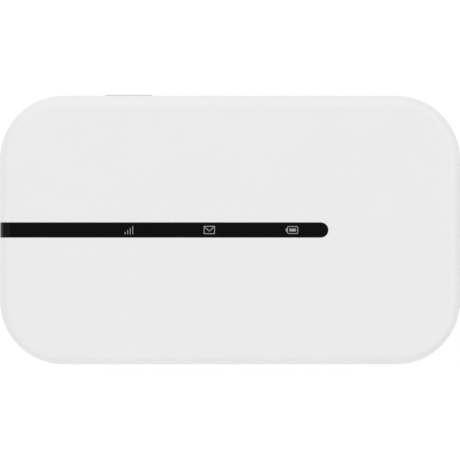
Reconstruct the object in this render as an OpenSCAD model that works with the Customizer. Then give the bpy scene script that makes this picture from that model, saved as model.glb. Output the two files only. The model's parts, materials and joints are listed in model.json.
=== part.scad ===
// Pocket mobile hotspot lying on its back cover, front face up.
// Origin: middle of the underside. +X runs to the plain end, +Y to the power key, +Z out of the front face.

/* [Body] */
// Length over the housing
body_len = 100; // [96:1:122]
// Width over the housing
body_wid = 58.4; // [56:0.2:72]
// Thickness over both shells
body_thk = 13.9; // [13.4:0.1:18]
// Radius of the four corners, seen from the front
corner_r = 13.9; // [12.5:0.1:14.5]
// Radius of the shoulder round the front face
front_edge_r = 2.6; // [2.2:0.1:3]
// Radius of the shoulder round the back
back_edge_r = 3.8; // [3:0.1:4]

/* [Shells] */
// Thickness of the front housing's face
face_wall = 1.3; // [1.2:0.05:1.6]
// Thickness of the front housing's sides
side_wall = 1.2; // [1.1:0.05:1.3]
// Thickness of the back cover's floor
cover_floor = 1.1; // [0.9:0.05:1.3]
// Thickness of the back cover's sides
cover_wall = 1.1; // [1:0.05:1.2]
// Height of the parting line
part_z = 4.3; // [4.1:0.1:4.8]
// Open seam between the two shells
seam = 0.12; // [0.05:0.01:0.2]
// Clearance round a piece nested in a shell
nest_gap = 0.15; // [0.1:0.05:0.2]
// Height of the cover's lip inside the front housing
lip_high = 0.5; // [0.3:0.1:0.8]
// Distance of that lip from the outside
lip_inset = 0.65; // [0.55:0.05:0.75]
// Width of a stiffening rib
rib_wid = 0.8; // [0.6:0.1:1]
// Depth of a rib under the front face
face_rib = 1.2; // [0.8:0.1:1.4]
// Height of a rib on the back cover's floor
cover_rib = 0.4; // [0.2:0.1:0.4]
// Length of the nail notch in the seam
nail_len = 11; // [8:0.5:14]
// Height of the nail notch
nail_high = 1.4; // [1:0.1:1.6]

/* [Snap hooks] */
// Width of a hook
hook_wid = 5; // [4:0.5:6]
// Thickness of a hook's arm
hook_thk = 0.7; // [0.6:0.05:0.9]
// Reach of a hook above the parting line
hook_high = 2.9; // [2.8:0.1:3]
// How far a hook's nose stands out of its arm
nose_out = 0.45; // [0.3:0.05:0.5]
// Height of the nose
nose_high = 0.8; // [0.6:0.1:0.9]
// Place of the middle hook along the body
hook_mid_x = 6; // [5:0.5:7]
// Spacing of the three hooks along a long side
hook_pitch = 20; // [16:1:22]
// Distance of an end hook from the centre line
hook_end_y = 8.4; // [7.5:0.1:9]

/* [Indicator strip] */
// Width of the strip
strip_wid = 3.3; // [3:0.1:4]
// Distance of the strip's round end from the middle of the body
strip_end_x = 21.3; // [18:0.1:30]
// Height of the strip's foot on the side of the body
strip_foot_z = 10.3; // [10:0.1:11]
// Thickness of the smoked lens
lens_thk = 0.75; // [0.6:0.05:0.8]
// How far the lens lies below the housing's surface
lens_drop = 0.04; // [0:0.01:0.1]
// Gap round the lens
lens_gap = 0.04; // [0.02:0.01:0.1]
// Thickness of the lens adhesive
glue_thk = 0.1; // [0.05:0.05:0.15]

/* [Indicator lights] */
// Place of the signal indicator along the body
signal_x = -22; // [-24:0.1:-18]
// Place of the message indicator along the body
message_x = -4.5; // [-8:0.1:-2]
// Place of the battery indicator along the body
charge_x = 13.6; // [10:0.1:16]
// Length of a light window
window_len = 3.6; // [3:0.1:4.2]
// Width of a light window
window_wid = 2.3; // [2:0.1:2.4]
// Width of the shield that keeps the lights apart
shield_wid = 5.2; // [5:0.1:6]
// Thickness of the shield's bar under the face
shield_bar = 1.1; // [0.9:0.1:1.2]

/* [Power key] */
// Place of the key along the body
key_x = -22.1; // [-26:0.1:-20]
// Length of the key
key_len = 10.3; // [8:0.1:12]
// Height of the key
key_high = 2.8; // [2.4:0.1:3]
// How far the key stands out of the side
key_proud = 0.2; // [0.1:0.05:0.5]
// Travel of the key
key_travel = 0.3; // [0.2:0.05:0.35]
// Gap round the key
key_gap = 0.1; // [0.06:0.02:0.15]
// Thickness of the flange that holds the key in
key_flange = 0.8; // [0.6:0.1:0.9]

/* [Battery] */
// Length of the battery
cell_len = 65; // [50:1:66]
// Width of the battery
cell_wid = 44; // [36:1:45]
// Thickness of the battery
cell_thk = 4.7; // [4.2:0.1:4.9]
// Length of the moulded end cap
cap_len = 3.4; // [3:0.1:4]
// Distance of the battery from the plain end of the body
cell_end_gap = 5.4; // [5.2:0.1:7]
// Play round the battery in its bay
cell_play = 0.3; // [0.2:0.05:0.5]
// Thickness of the foam pad under the battery
pad_thk = 0.3; // [0.2:0.05:0.4]
// Spacing of the four battery contacts
blade_pitch = 2.4; // [2.2:0.1:2.6]

/* [Chassis] */
// Thickness of the chassis walls
frame_wall = 0.9; // [0.8:0.05:1]
// Thickness of the roof over the battery
bay_roof = 0.8; // [0.7:0.05:1]
// Depth of the label recess in that roof
label_deep = 0.15; // [0.1:0.05:0.2]
// Height of the pads that carry the board
board_pad = 0.4; // [0.3:0.05:0.5]
// Length of a finger scoop at the battery
scoop_len = 14; // [12:0.5:18]
// Radius of a finger scoop
scoop_r = 2.2; // [2:0.1:2.4]
// Radius of the pegs that place the board
peg_r = 0.75; // [0.6:0.05:0.8]

/* [Housing screws] */
// Radius of a screw's shank
screw_r = 0.8; // [0.7:0.05:0.9]
// Length of a screw under its head
screw_len = 6; // [5:0.5:7]
// Radius of a screw's head
head_r = 1.5; // [1.4:0.05:1.6]
// Thickness of a screw's head
head_thk = 0.8; // [0.6:0.1:1]
// Radius of a screw boss
boss_r = 1.9; // [1.7:0.1:2]
// Place of the four side screws along the body
screw_x = 34; // [33:0.5:35]
// Distance of a side screw from the side of the body
screw_in = 3.6; // [3.5:0.05:3.8]
// Distance of the two end screws from the end of the body
end_screw_in = 5.2; // [5:0.1:5.4]
// Distance of an end screw from the centre line
end_screw_y = 16; // [15:0.5:17]

/* [Board] */
// Thickness of the circuit board
board_thk = 1; // [0.8:0.1:1.2]
// Height of the shielding cans
can_high = 1.7; // [1.5:0.1:2]
// Thickness of their sheet
sheet = 0.2; // [0.15:0.05:0.2]

/* [Charging socket] */
// Width of the socket's shell
usb_wid = 7.5; // [7.4:0.1:8]
// Height of the socket's shell
usb_high = 2.5; // [2.4:0.1:2.6]
// Length of the socket's shell
usb_len = 5.1; // [5:0.1:5.6]
// Thickness of the socket's shell
usb_sheet = 0.25; // [0.2:0.05:0.3]

/* [Card reader] */
// Length of the reader
sim_len = 15; // [14.5:0.1:15.5]
// Width of the reader
sim_wid = 13; // [12.5:0.1:13.5]
// Height of the reader
sim_high = 1.45; // [1.4:0.05:1.6]
// Run of the card in front of the reader
sim_slide = 11.5; // [10:0.5:12]

/* [Reset button] */
// Radius of the cap
reset_r = 0.9; // [0.7:0.1:1]
// Distance of the cap from the centre line
reset_y = 12.5; // [12:0.5:14]

/* [Antennas] */
// Thickness of an antenna's foil
foil = 0.12; // [0.08:0.02:0.15]
// Width of the block that carries the main antenna
carrier_wid = 36; // [32:1:38]

/* [Hidden] */
$fn = 48;

shell_white = "#ececea";
frame_white = "#dcdcda";
smoke = "#141416";
steel = "#b9bcc0";
gold = "#d8b25a";
copper = "#b87a45";
mask_green = "#1f5a3c";
black_plastic = "#1d1d1f";

clear = 0.1;     // ordinary assembly clearance
over = 1;        // how far a cutting tool passes its surface
tiny = 0.01;     // leaves a round end a sliver of straight side
deep_cut = 20;   // a cutting tool that leaves through the far side

end_x = body_len / 2;
side_y = body_wid / 2;
face_in_z = body_thk - face_wall;
cell_z = cover_floor + pad_thk + clear;
bay_top = cell_z + cell_thk + cell_play - clear;
frame_inset = side_wall + nest_gap;
frame_low_r = back_edge_r - frame_inset;
frame_z = cell_z + clear;
frame_top = bay_top + bay_roof;
deck_top = frame_z + frame_wall;
board_z = frame_top + board_pad;
board_top = board_z + board_thk;
can_top = board_top + can_high;

// ---------- shared shapes ----------

// Flat plate outline with round corners, centred.
module round_rect(len, wid, r) {
    square([len - 2 * r, wid], center = true);
    square([len, wid - 2 * r], center = true);
    for (x = [-1, 1], y = [-1, 1])
        translate([x * (len / 2 - r), y * (wid / 2 - r)]) circle(r);
}

// Block with round upright corners, centred on [x, y] and standing on z.
module round_block(at, size, r) {
    translate(at) linear_extrude(size.z) round_rect(size.x, size.y, r);
}

// Plain block centred on [x, y] and standing on z.
module block(at, size) {
    translate(at + [0, 0, size.z / 2]) cube(size, center = true);
}

// Upright pin standing on at.
module pin(at, r, high) {
    translate(at) cylinder(r = r, h = high);
}

// Carries a wall section round the body's outline: four corners, four straights and the middle.
module round_the_body(z0, z1) {
    hx = end_x - corner_r;
    hy = side_y - corner_r;
    for (turn = [0, 180]) rotate(turn) {
        translate([hx, hy, 0]) rotate_extrude(angle = 90) children();
        translate([-hx, hy, 0]) rotate(90) rotate_extrude(angle = 90) children();
        translate([hx, hy, 0]) rotate([90, 0, 0]) linear_extrude(2 * hy) children();
        translate([-hx, hy, 0]) rotate([90, 0, 90]) linear_extrude(2 * hx) children();
    }
    translate([-hx, -hy, z0]) cube([2 * hx, 2 * hy, z1 - z0]);
}

// Section of the solid from a corner's centre out to the wall, with round lower and upper edges.
module wall_section(reach, z0, z1, r_low, r_high) {
    intersection() {
        translate([0, z0]) square([reach, z1 - z0]);
        union() {
            translate([0, z0 + r_low]) square([reach, z1 - z0 - r_low - r_high]);
            if (r_low > 0) {
                translate([reach - r_low, z0 + r_low]) circle(r_low);
                translate([0, z0]) square([reach - r_low, r_low]);
            }
            if (r_high > 0) {
                translate([reach - r_high, z1 - r_high]) circle(r_high);
                translate([0, z1 - r_high]) square([reach - r_high, r_high]);
            }
        }
    }
}

// Solid with the body's outline drawn in by inset.
module body_solid(inset, z0, z1, r_low = 0, r_high = 0) {
    round_the_body(z0, z1) wall_section(corner_r - inset, z0, z1, r_low, r_high);
}

// ---------- places shared by several pieces ----------

// Housing screws: four along the sides, two at the socket's end
side_screws = [for (x = [-1, 1], y = [-1, 1]) [x * screw_x, y * (side_y - screw_in)]];
end_screws = [for (y = [-1, 1]) [end_screw_in - end_x, y * end_screw_y]];
screws = concat(side_screws, end_screws);
seat_thk = 1.6;
head_seat_z = deck_top + seat_thk;

// Battery and the plug that meets it
cell_x = end_x - cell_end_gap - cell_len / 2;
cell_left = cell_x - cell_len / 2;
cell_right = cell_x + cell_len / 2;
bay_left = cell_left - cell_play - frame_wall;
plug_gap = 0.5;
plug_z = 2.3;
plug_size = [4.3, 4 * blade_pitch + 0.8, board_z - plug_z];
plug_at = [cell_left - plug_gap - plug_size.x / 2, 0, plug_z];
blade_row = [-1.5:1.5];
contact_drop = 0.2;
key_notch = [1.2, 3, 1.4];
key_notch_y = cell_wid / 2 - 4;

// Card reader, reset button and charging socket
sim_size = [sim_len, sim_wid, sim_high];
sim_at = [bay_left - 12.8, -14, board_z - sim_size.z];
well_size = [sim_size.x + 0.9, sim_size.y + sim_slide + 0.9];
well_at = [sim_at.x, sim_at.y + sim_slide / 2];
reset_at = [bay_left - 9.4, reset_y];
usb_z = board_z + 0.2;
usb_mouth_x = 0.6 - end_x;
usb_back_x = usb_mouth_x + usb_len;

// Power key and the switch behind it
key_z = board_top + 0.95;
key_back_y = side_y - side_wall - nest_gap - key_flange;
key_nub = 0.2;
stem_y = key_back_y - key_nub;
stem_len = 0.9;
stem_root = 0.25;

// Indicator lights
guides = [signal_x, message_x, charge_x];
guides_mid = (guides[0] + guides[2]) / 2;
guides_span = guides[2] - guides[0];
glue_z = body_thk - lens_drop - lens_thk - glue_thk;
led_size = [1.6, 1.5, 0.6];

// Pegs and rests that hold the board
peg_at = [for (y = [-1, 1]) [16, y * (side_y - 4.1)]];
rest_at = [for (x = [-9, 29], y = [-1, 1]) [x, y * (side_y - 4.2)]];

// Repeats a hook, its catch or its pocket: local +Y points out of the body, origin on the surface.
module at_hooks() {
    for (m = [0, 1]) mirror([0, m, 0]) for (k = [-1:1])
        translate([hook_mid_x + k * hook_pitch, side_y, 0]) children();
    for (m = [0, 1]) mirror([m, 0, 0]) for (s = [-1, 1])
        translate([end_x, s * hook_end_y, 0]) rotate(-90) children();
}

// ---------- front housing ----------

// Section of a band under the front face that turns down over the end of the body.
module band_section(top, bottom, foot_z) {
    bend = end_x - front_edge_r;
    translate([-bend, body_thk - bottom]) square([bend + strip_end_x + strip_wid, bottom - top]);
    intersection() {
        translate([-end_x, body_thk - front_edge_r]) square(front_edge_r);
        translate([-bend, body_thk - front_edge_r]) difference() {
            circle(front_edge_r - top);
            circle(front_edge_r - bottom);
        }
    }
    translate([-end_x + top, foot_z]) square([bottom - top, body_thk - front_edge_r - foot_z]);
}

// The band cut to the strip's plan: straight, with one round end.
module strip_band(top, bottom, foot_z, gap) {
    wid = strip_wid - 2 * gap;
    run = end_x + over + strip_end_x - strip_wid / 2;
    intersection() {
        translate([0, strip_wid, 0]) rotate([90, 0, 0])
            linear_extrude(2 * strip_wid) band_section(top, bottom, foot_z);
        linear_extrude(body_thk + over) {
            translate([-end_x - over, -wid / 2]) square([run, wid]);
            translate([run - end_x - over, 0]) circle(wid / 2);
        }
    }
}

// Groove for the lens, open upwards and outwards.
module strip_groove()
    strip_band(0, body_thk - glue_z, strip_foot_z - lens_gap, 0);

// Opening for the socket inside a shallow recess for the plug's grip.
module usb_opening() {
    mouth = [usb_wid + 0.5, usb_high + 0.45];
    grip = mouth + [1.8, 0.9];
    grip_deep = 0.45;
    translate([-end_x - over, 0, usb_z]) rotate([90, 0, 90]) {
        linear_extrude(side_wall + 2 * over) round_rect(mouth.x, mouth.y, 0.6);
        linear_extrude(over + grip_deep) round_rect(grip.x, grip.y, 1);
    }
}

// The key's pill, grown by a gap, run inwards from the origin.
module key_shape(grow, depth) {
    high = key_high + 2 * grow;
    rotate([90, 0, 0]) linear_extrude(depth) round_rect(key_len + 2 * grow, high, high / 2 - tiny);
}

// Screw bosses webbed to the sides, and rests that press on the board.
module housing_posts() {
    root = face_in_z + face_wall / 2;
    web_z = board_z + 0.8;
    web_y = side_y - side_wall - 0.3;
    end_web = 2.5;
    rest_r = 0.9;
    for (p = screws) pin([p.x, p.y, board_z], boss_r, root - board_z);
    for (p = side_screws) block([p.x, sign(p.y) * web_y, web_z], [rib_wid, 1.4, root - web_z]);
    for (p = end_screws) block([p.x - boss_r + 0.2 - end_web / 2, p.y, web_z], [end_web, rib_wid, root - web_z]);
    for (p = rest_at) pin([p.x, p.y, board_top], rest_r, root - board_top);
}

// Ribs under the face: one pair beside the lights and a ladder that leaves the lights free.
module housing_ribs() {
    root = 0.4;
    low = face_in_z - face_rib;
    high = face_rib + root;
    near_y = shield_wid / 2 + clear + rib_wid / 2;
    far_y = side_y - 10.2;
    reach = far_y - near_y;
    ladder = [-29, -8, 12, 33];
    for (s = [-1, 1]) {
        block([guides_mid, s * near_y, low], [guides_span + 10, rib_wid, high]);
        block([(ladder[0] + ladder[3]) / 2, s * far_y, low], [ladder[3] - ladder[0], rib_wid, high]);
        for (x = ladder) block([x, s * (near_y + reach / 2), low], [rib_wid, reach, high]);
    }
    for (x = [ladder[0], ladder[3]]) block([x, 0, low], [rib_wid, 2 * far_y, high]);
}

// Catches that the cover's hooks snap into.
module hook_catches()
    at_hooks() block([0, nose_out + clear - frame_inset - over / 2, nose_z - clear],
        [hook_wid + 0.6, over, nose_high + 3 * clear]);

module front_housing() color(shell_white) {
    thread_fit = 0.02;
    thread_len = 3.6;
    window_r = 0.5;
    difference() {
        union() {
            difference() {
                body_solid(0, part_z + seam, body_thk, 0, front_edge_r);
                body_solid(side_wall, part_z, face_in_z, 0, front_edge_r - side_wall);
                body_solid(lip_inset - clear, part_z, part_z + seam + lip_high + clear);
            }
            housing_posts();
            housing_ribs();
        }
        strip_groove();
        for (x = guides) round_block([x, 0, face_in_z - over],
            [window_len + 2 * clear, window_wid + 2 * clear, face_wall + 2 * over], window_r);
        for (p = screws) pin([p.x, p.y, board_z - over], screw_r + thread_fit, over + thread_len);
        hook_catches();
        translate([key_x, side_y + over, key_z]) key_shape(key_gap, side_wall + 2 * over);
        usb_opening();
    }
}

module indicator_lens() color(smoke)
    strip_band(lens_drop, lens_drop + lens_thk, strip_foot_z, lens_gap);

module lens_adhesive() color("#3a3a3c") {
    wid = strip_wid - 0.6;
    left = front_edge_r + 0.2 - end_x;
    right = strip_end_x - 0.3;
    difference() {
        round_block([(left + right) / 2, 0, glue_z], [right - left, wid, glue_thk], wid / 2 - tiny);
        for (x = guides) round_block([x, 0, glue_z - over], [window_len, window_wid, 2 * over], 0.5);
    }
}

// ---------- lights under the strip ----------

// Black bar with a cup over each light.
module light_shield() color(black_plastic) {
    cup = [6.6, shield_wid - 0.4];
    cup_r = 0.8;
    bar_z = face_in_z - shield_bar;
    difference() {
        union() {
            round_block([guides_mid, 0, bar_z], [guides_span + 9, shield_wid, shield_bar], cup_r);
            for (x = guides) round_block([x, 0, board_top], [cup.x, cup.y, face_in_z - board_top], cup_r);
        }
        for (x = guides) {
            round_block([x, 0, board_top - over],
                [window_len + 1.6, window_wid + 1, over + bar_z - board_top], cup_r / 2);
            round_block([x, 0, board_top], [window_len + 2 * clear, window_wid + 2 * clear, deep_cut], 0.5);
        }
    }
}

// Clear blocks that carry the light up to the lens, each hung on a ledge under the shield.
module light_guides() color([0.9, 0.95, 1, 0.6]) for (x = guides) {
    low = board_top + led_size.z + 0.15;
    top = glue_z + glue_thk - 0.05;
    ledge = 0.5;
    round_block([x, 0, face_in_z - shield_bar - clear - ledge],
        [window_len + 1.2, window_wid + 0.7, ledge], 0.3);
    round_block([x, 0, low], [window_len, window_wid, top - low], 0.5);
}

module indicator_leds() color("#f4f1e4") for (x = guides) {
    half = led_size.z / 2;
    block([x, 0, board_top], [led_size.x, led_size.y, half]);
    block([x, 0, board_top + half], [led_size.x - 0.3, led_size.y - 0.2, half]);
}

// ---------- power key ----------

// Pill with a flange behind the wall and a nub that meets the switch.
module power_key() color("#d8d8d8") {
    flange = [2, 1];
    translate([key_x, side_y + key_proud, key_z]) key_shape(0, key_proud + side_wall + nest_gap);
    translate([key_x, key_back_y + key_flange, key_z]) rotate([90, 0, 0])
        linear_extrude(key_flange) round_rect(key_len + flange.x, key_high + flange.y, 1);
    block([key_x, key_back_y - key_nub / 2, key_z - 0.5], [2.4, key_nub, 1]);
}

switch_size = [4.6, 2.6, 1.9];
stem_size = [1.6, 0.9];

// Side-push switch with a foot at each end.
module power_switch() color(steel) {
    at = [key_x, stem_y - stem_len - switch_size.y / 2, board_top];
    foot = [0.6, 0.8, 0.3];
    mouth = stem_size + [0.3, 0.3];
    difference() {
        union() {
            block(at, switch_size);
            for (s = [-1, 1]) block(at + [s * (switch_size.x + foot.x) / 2, 0.4, 0], foot);
        }
        block([key_x, stem_y - stem_len, key_z - mouth.y / 2], [mouth.x, 1.2, mouth.y]);
    }
}

module switch_plunger() color("#e8e4da") {
    len = stem_len + stem_root;
    block([key_x, stem_y - len / 2, key_z - stem_size.y / 2], [stem_size.x, len, stem_size.y]);
}

// ---------- board ----------

board_margin = side_wall + 1.4;
board_left = board_margin - end_x;
board_right = end_x - 9.6;
board_y = side_y - side_wall - 0.6;

// Board with holes for bosses and pegs, and cut-outs for the key and the socket.
module main_board() color(mask_green) {
    through = board_thk + 2 * over;
    low = board_z - over;
    hole_r = boss_r + 0.4;
    key_cut = side_y - key_back_y + 0.4 + key_travel;
    usb_cut = usb_back_x - board_left + 0.3;
    difference() {
        round_block([(board_left + board_right) / 2, 0, board_z],
            [board_right - board_left, 2 * board_y, board_thk], corner_r - board_margin);
        for (p = screws) pin([p.x, p.y, low], hole_r, through);
        for (p = side_screws)
            block([p.x, sign(p.y) * side_y, low], [2 * hole_r, 2 * (side_y - abs(p.y)), through]);
        for (p = end_screws) block([-end_x, p.y, low], [2 * (end_x + p.x), 2 * hole_r, through]);
        for (p = peg_at) pin([p.x, p.y, low], peg_r + clear, through);
        block([key_x, side_y, low], [key_len + 3.2, 2 * key_cut, through]);
        block([board_left, 0, low], [2 * usb_cut, usb_wid + 0.5, through]);
    }
}

// Place, length and width of each can on the board
modem_can = [1.5, 13.2, 32, 17];
radio_can = [29, -2, 16.5, 38];
wifi_can = [1.5, -13.2, 32, 17];
power_can = [-28.5, -13.2, 22, 17];

// Solder frame with feet, a rim turned inwards and a bridge to pick it up by.
module can_frame(can) color(steel) translate([can[0], can[1], board_top]) {
    high = can_high - sheet;
    rim = 0.8;
    foot_pitch = 4;
    foot_gap = [1.2, 0.25];
    difference() {
        block([0, 0, 0], [can[2], can[3], high]);
        block([0, 0, -over], [can[2] - 2 * sheet, can[3] - 2 * sheet, high + over - sheet]);
        for (s = [-1, 1]) block([s * can[2] / 4, 0, 0], [can[2] / 2 - 2 * rim, can[3] - 2 * rim, high + over]);
        for (x = [3 - can[2] / 2:foot_pitch:can[2] / 2 - 2])
            block([x, 0, -over], [foot_gap.x, can[3] + over, over + foot_gap.y]);
    }
}

// Lid with side slots that snap over the frame and rows of vent holes.
module can_lid(can) color("#c9ccd0") translate([can[0], can[1], board_top]) {
    gap = 0.05;
    skirt = 1.1;
    slot = [1.6, 0.3];
    slot_pitch = 4;
    slot_drop = 0.7;
    vent_r = 0.5;
    vent_pitch = [2.5, 3];
    wall = sheet + gap;
    difference() {
        round_block([0, 0, can_high - skirt], [can[2] + 2 * wall, can[3] + 2 * wall, skirt], 0.4);
        block([0, 0, can_high - skirt - over], [can[2] + 2 * gap, can[3] + 2 * gap, skirt + over - sheet]);
        for (x = [3 - can[2] / 2:slot_pitch:can[2] / 2 - 2])
            block([x, 0, can_high - slot_drop], [slot.x, can[3] + over, slot.y]);
        for (x = [2.5 - can[2] / 2:vent_pitch.x:can[2] / 2 - 2], y = [-1:1])
            translate([x, y * vent_pitch.y, can_high - over]) cylinder(r = vent_r, h = 2 * over, $fn = 24);
    }
}

module modem_can_frame() can_frame(modem_can);
module modem_can_lid() can_lid(modem_can);
module radio_can_frame() can_frame(radio_can);
module radio_can_lid() can_lid(radio_can);
module wifi_can_frame() can_frame(wifi_can);
module wifi_can_lid() can_lid(wifi_can);
module power_can_frame() can_frame(power_can);
module power_can_lid() can_lid(power_can);

// Chip with a small dot that marks its first corner.
module chip(at, size) {
    dot = 0.8;
    difference() {
        block([at.x, at.y, board_top], size);
        translate([at.x - size.x / 2 + dot, at.y + size.y / 2 - dot, board_top + size.z - 0.08])
            cylinder(r = 0.3, h = over, $fn = 24);
    }
}

modem_at = [modem_can[0] - 7, modem_can[1]];
modem_size = [11, 11, 1];
wifi_at = [wifi_can[0] - 7, wifi_can[1]];
wifi_size = [8, 8, 0.85];

module modem_processor() color(black_plastic) chip(modem_at, modem_size);
module memory_chip() color(black_plastic) chip([modem_can[0] + 7.5, modem_can[1]], [10, 12, 0.9]);
module radio_transceiver() color(black_plastic) chip([radio_can[0], radio_can[1] + 9], [7, 7, 0.8]);
module power_amplifiers() color(black_plastic)
    for (k = [-1:1]) chip([radio_can[0] + k * 4.6, radio_can[1] - 9], [3.4, 4.4, 0.8]);
module wifi_chip() color(black_plastic) chip(wifi_at, wifi_size);
module power_manager() color(black_plastic) chip([power_can[0] - 4, power_can[1]], [6.5, 6.5, 0.85]);

module charger_coils() color("#6a6a6c") {
    coil = [2.5, 2.5, 1.1];
    pitch = [3.2, 6.8];
    for (x = [0, 1], y = [-0.5, 0.5])
        block([power_can[0] + 3.6 + x * pitch.x, power_can[1] + y * pitch.y, board_top], coil);
}

// Pad between a chip and the lid over it.
module thermal_pad(at, size) {
    low = board_top + size.z;
    block([at.x, at.y, low], [size.x - 1, size.y - 1, can_top - sheet - low]);
}

module thermal_pads() color("#8f9aa8") {
    thermal_pad(modem_at, modem_size);
    thermal_pad(wifi_at, wifi_size);
}

// ---------- charging socket ----------

// Outline of the shell: a rectangle with its two lower corners cut off.
module usb_outline(grow) {
    w = usb_wid / 2 + grow;
    h = usb_high / 2 + grow;
    cut = [0.9, 1.1];
    polygon([[-w, h], [w, h], [w, cut.y - h], [w - cut.x, -h], [cut.x - w, -h], [-w, cut.y - h]]);
}

// Slots that leave a spring tongue in the shell's roof.
module usb_spring_cut(y) {
    tongue = [2.6, 0.9];
    slit = 0.25;
    top = usb_z + usb_high / 2;
    root_x = usb_mouth_x + 0.7;
    for (s = [-1, 1])
        block([root_x + tongue.x / 2, y + s * (tongue.y + slit) / 2, top - usb_sheet - clear],
            [tongue.x, slit, usb_sheet + 2 * clear]);
    block([root_x + tongue.x - slit / 2, y, top - usb_sheet - clear],
        [slit, tongue.y + 2 * slit, usb_sheet + 2 * clear]);
}

// Drawn shell with a closed back, two spring tongues, two latch windows and a foot at each side.
module usb_shell() color(steel) {
    foot = [1.8, 1.5, 0.2];
    latch = [1, 1.1];
    difference() {
        translate([usb_mouth_x, 0, usb_z]) rotate([90, 0, 90]) difference() {
            linear_extrude(usb_len) usb_outline(0);
            translate([0, 0, -over]) linear_extrude(usb_len + over - usb_sheet) usb_outline(-usb_sheet);
        }
        for (s = [-1, 1]) {
            usb_spring_cut(s * 1.8);
            block([usb_mouth_x + 1.6, s * 1.7, usb_z - usb_high / 2 - clear],
                [latch.x, latch.y, usb_sheet + 2 * clear]);
        }
    }
    for (s = [-1, 1]) block([usb_back_x - 1.6, s * (usb_wid / 2 + 0.7), board_top], foot);
}

tongue_root = 1.2;
tongue_size = [2.8, 4.1, 0.6];

module usb_tongue() color(black_plastic) {
    back = usb_back_x - usb_sheet;
    block([back - tongue_root / 2, 0, usb_z - usb_high / 2 + usb_sheet],
        [tongue_root, usb_wid - 2.4, usb_high - 2 * usb_sheet]);
    block([back - tongue_root - tongue_size.x / 2, 0, usb_z + 0.15], tongue_size);
}

module usb_contacts() color(gold) {
    strip = [2.4, 0.3, 0.1];
    pitch = 0.65;
    for (k = [-2:2])
        block([usb_back_x - usb_sheet - tongue_root - strip.x / 2, k * pitch, usb_z + 0.15 - strip.z], strip);
}

// ---------- card reader ----------

sim_base = 0.3;
sim_pitch = [5.2, 2.54];

// Places of the six card contacts, on the reader's underside.
module at_sim_contacts()
    for (x = [-0.5, 0.5], y = [-1:1]) translate(sim_at + [x * sim_pitch.x, y * sim_pitch.y - 1, 0]) children();

// Sheet cage, open where the card goes in and cut away over the contacts.
module sim_reader_shell() color(steel) translate(sim_at) difference() {
    block([0, 0, 0], [sim_size.x, sim_size.y, sim_size.z - sim_base]);
    block([0, over, sheet], [sim_size.x - 2 * sheet, sim_size.y - 2 * sheet + 2 * over, sim_size.z]);
    for (s = [-1, 1]) round_block([s * 3.9, -0.6, -over], [3, 7.4, 3], 0.6);
    round_block([0, sim_size.y / 2, -over], [7, 3, 3], 1);
}

module sim_reader_base() color(black_plastic) difference() {
    block(sim_at + [0, 0, sim_size.z - sim_base], [sim_size.x, sim_size.y, sim_base]);
    at_sim_contacts() block([0, 0, 0], [1.6, 1.7, sim_size.z + over]);
}

// Soldered foot with a finger that bends down to the card.
module sim_contacts() color(gold) at_sim_contacts() {
    foot = [1.4, 1.1, 0.15];
    finger = [0.3, 0.9, 0.6];
    finger_x = -0.5;
    block([0, 0, sim_size.z - foot.z], foot);
    block([finger_x, 0, sim_size.z - foot.z - finger.z], finger);
}

// ---------- battery contacts in the chassis ----------

blade_wid = 0.8;
blade_thk = 0.15;
blade_slot = [1.2, 1.1];

module battery_connector() color(black_plastic) {
    sill = 0.4;
    head = 1;
    difference() {
        block(plug_at, plug_size);
        for (k = blade_row) block(plug_at + [plug_size.x / 2, k * blade_pitch, sill],
            [2 * blade_slot.x, blade_slot.y, plug_size.z - sill - head]);
    }
}

// Spring blade: a leg up the back of its slot, an arm forwards and a bulge towards the battery.
module battery_blades() color(gold) for (k = blade_row) {
    bulge_r = 0.75;
    bulge_x = plug_gap - 0.05 - bulge_r;
    mid = cell_z + cell_thk / 2;
    low = mid - bulge_r;
    translate([cell_left - plug_gap, k * blade_pitch + blade_wid / 2, 0]) rotate([90, 0, 0])
        linear_extrude(blade_wid) {
            translate([-blade_slot.x, low]) square([blade_thk, board_z - 1.1 - low]);
            translate([-blade_slot.x, low]) square([blade_slot.x + bulge_x, blade_thk]);
            translate([bulge_x, mid]) difference() {
                circle(bulge_r);
                circle(bulge_r - blade_thk);
                translate([-1, -1]) square([1, 2]);
            }
        }
}

// ---------- chassis ----------

bay_size = [cell_len + 2 * cell_play, cell_wid + 2 * cell_play];
plug_well = [plug_size.x + 0.6, plug_size.y + 0.6];
wall_high = frame_top - frame_z;
hook_room = 1.7;

// Upright walls and posts of the chassis, clipped to its outline.
module inside_frame() intersection() {
    body_solid(frame_inset, frame_z, board_z, frame_low_r, 0);
    union() children();
}

// Walls round the battery, the card well and the plug.
module well_walls() {
    both = 2 * frame_wall;
    block([cell_x, 0, frame_z], [bay_size.x + both, bay_size.y + both, wall_high]);
    round_block([well_at.x, well_at.y, frame_z], [well_size.x + both, well_size.y + both, wall_high], 1.4);
    block([plug_at.x, 0, frame_z], [plug_well.x + both, plug_well.y + both, wall_high]);
}

// Thick walls behind the two finger scoops.
module scoop_backs() {
    thick = scoop_r + 0.6;
    block([cell_right + cell_play + thick / 2, 0, frame_z], [thick, scoop_len + 2, wall_high]);
    block([well_at.x, well_at.y + (well_size.y + thick) / 2, frame_z], [well_size.x - 4, thick, wall_high]);
}

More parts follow.
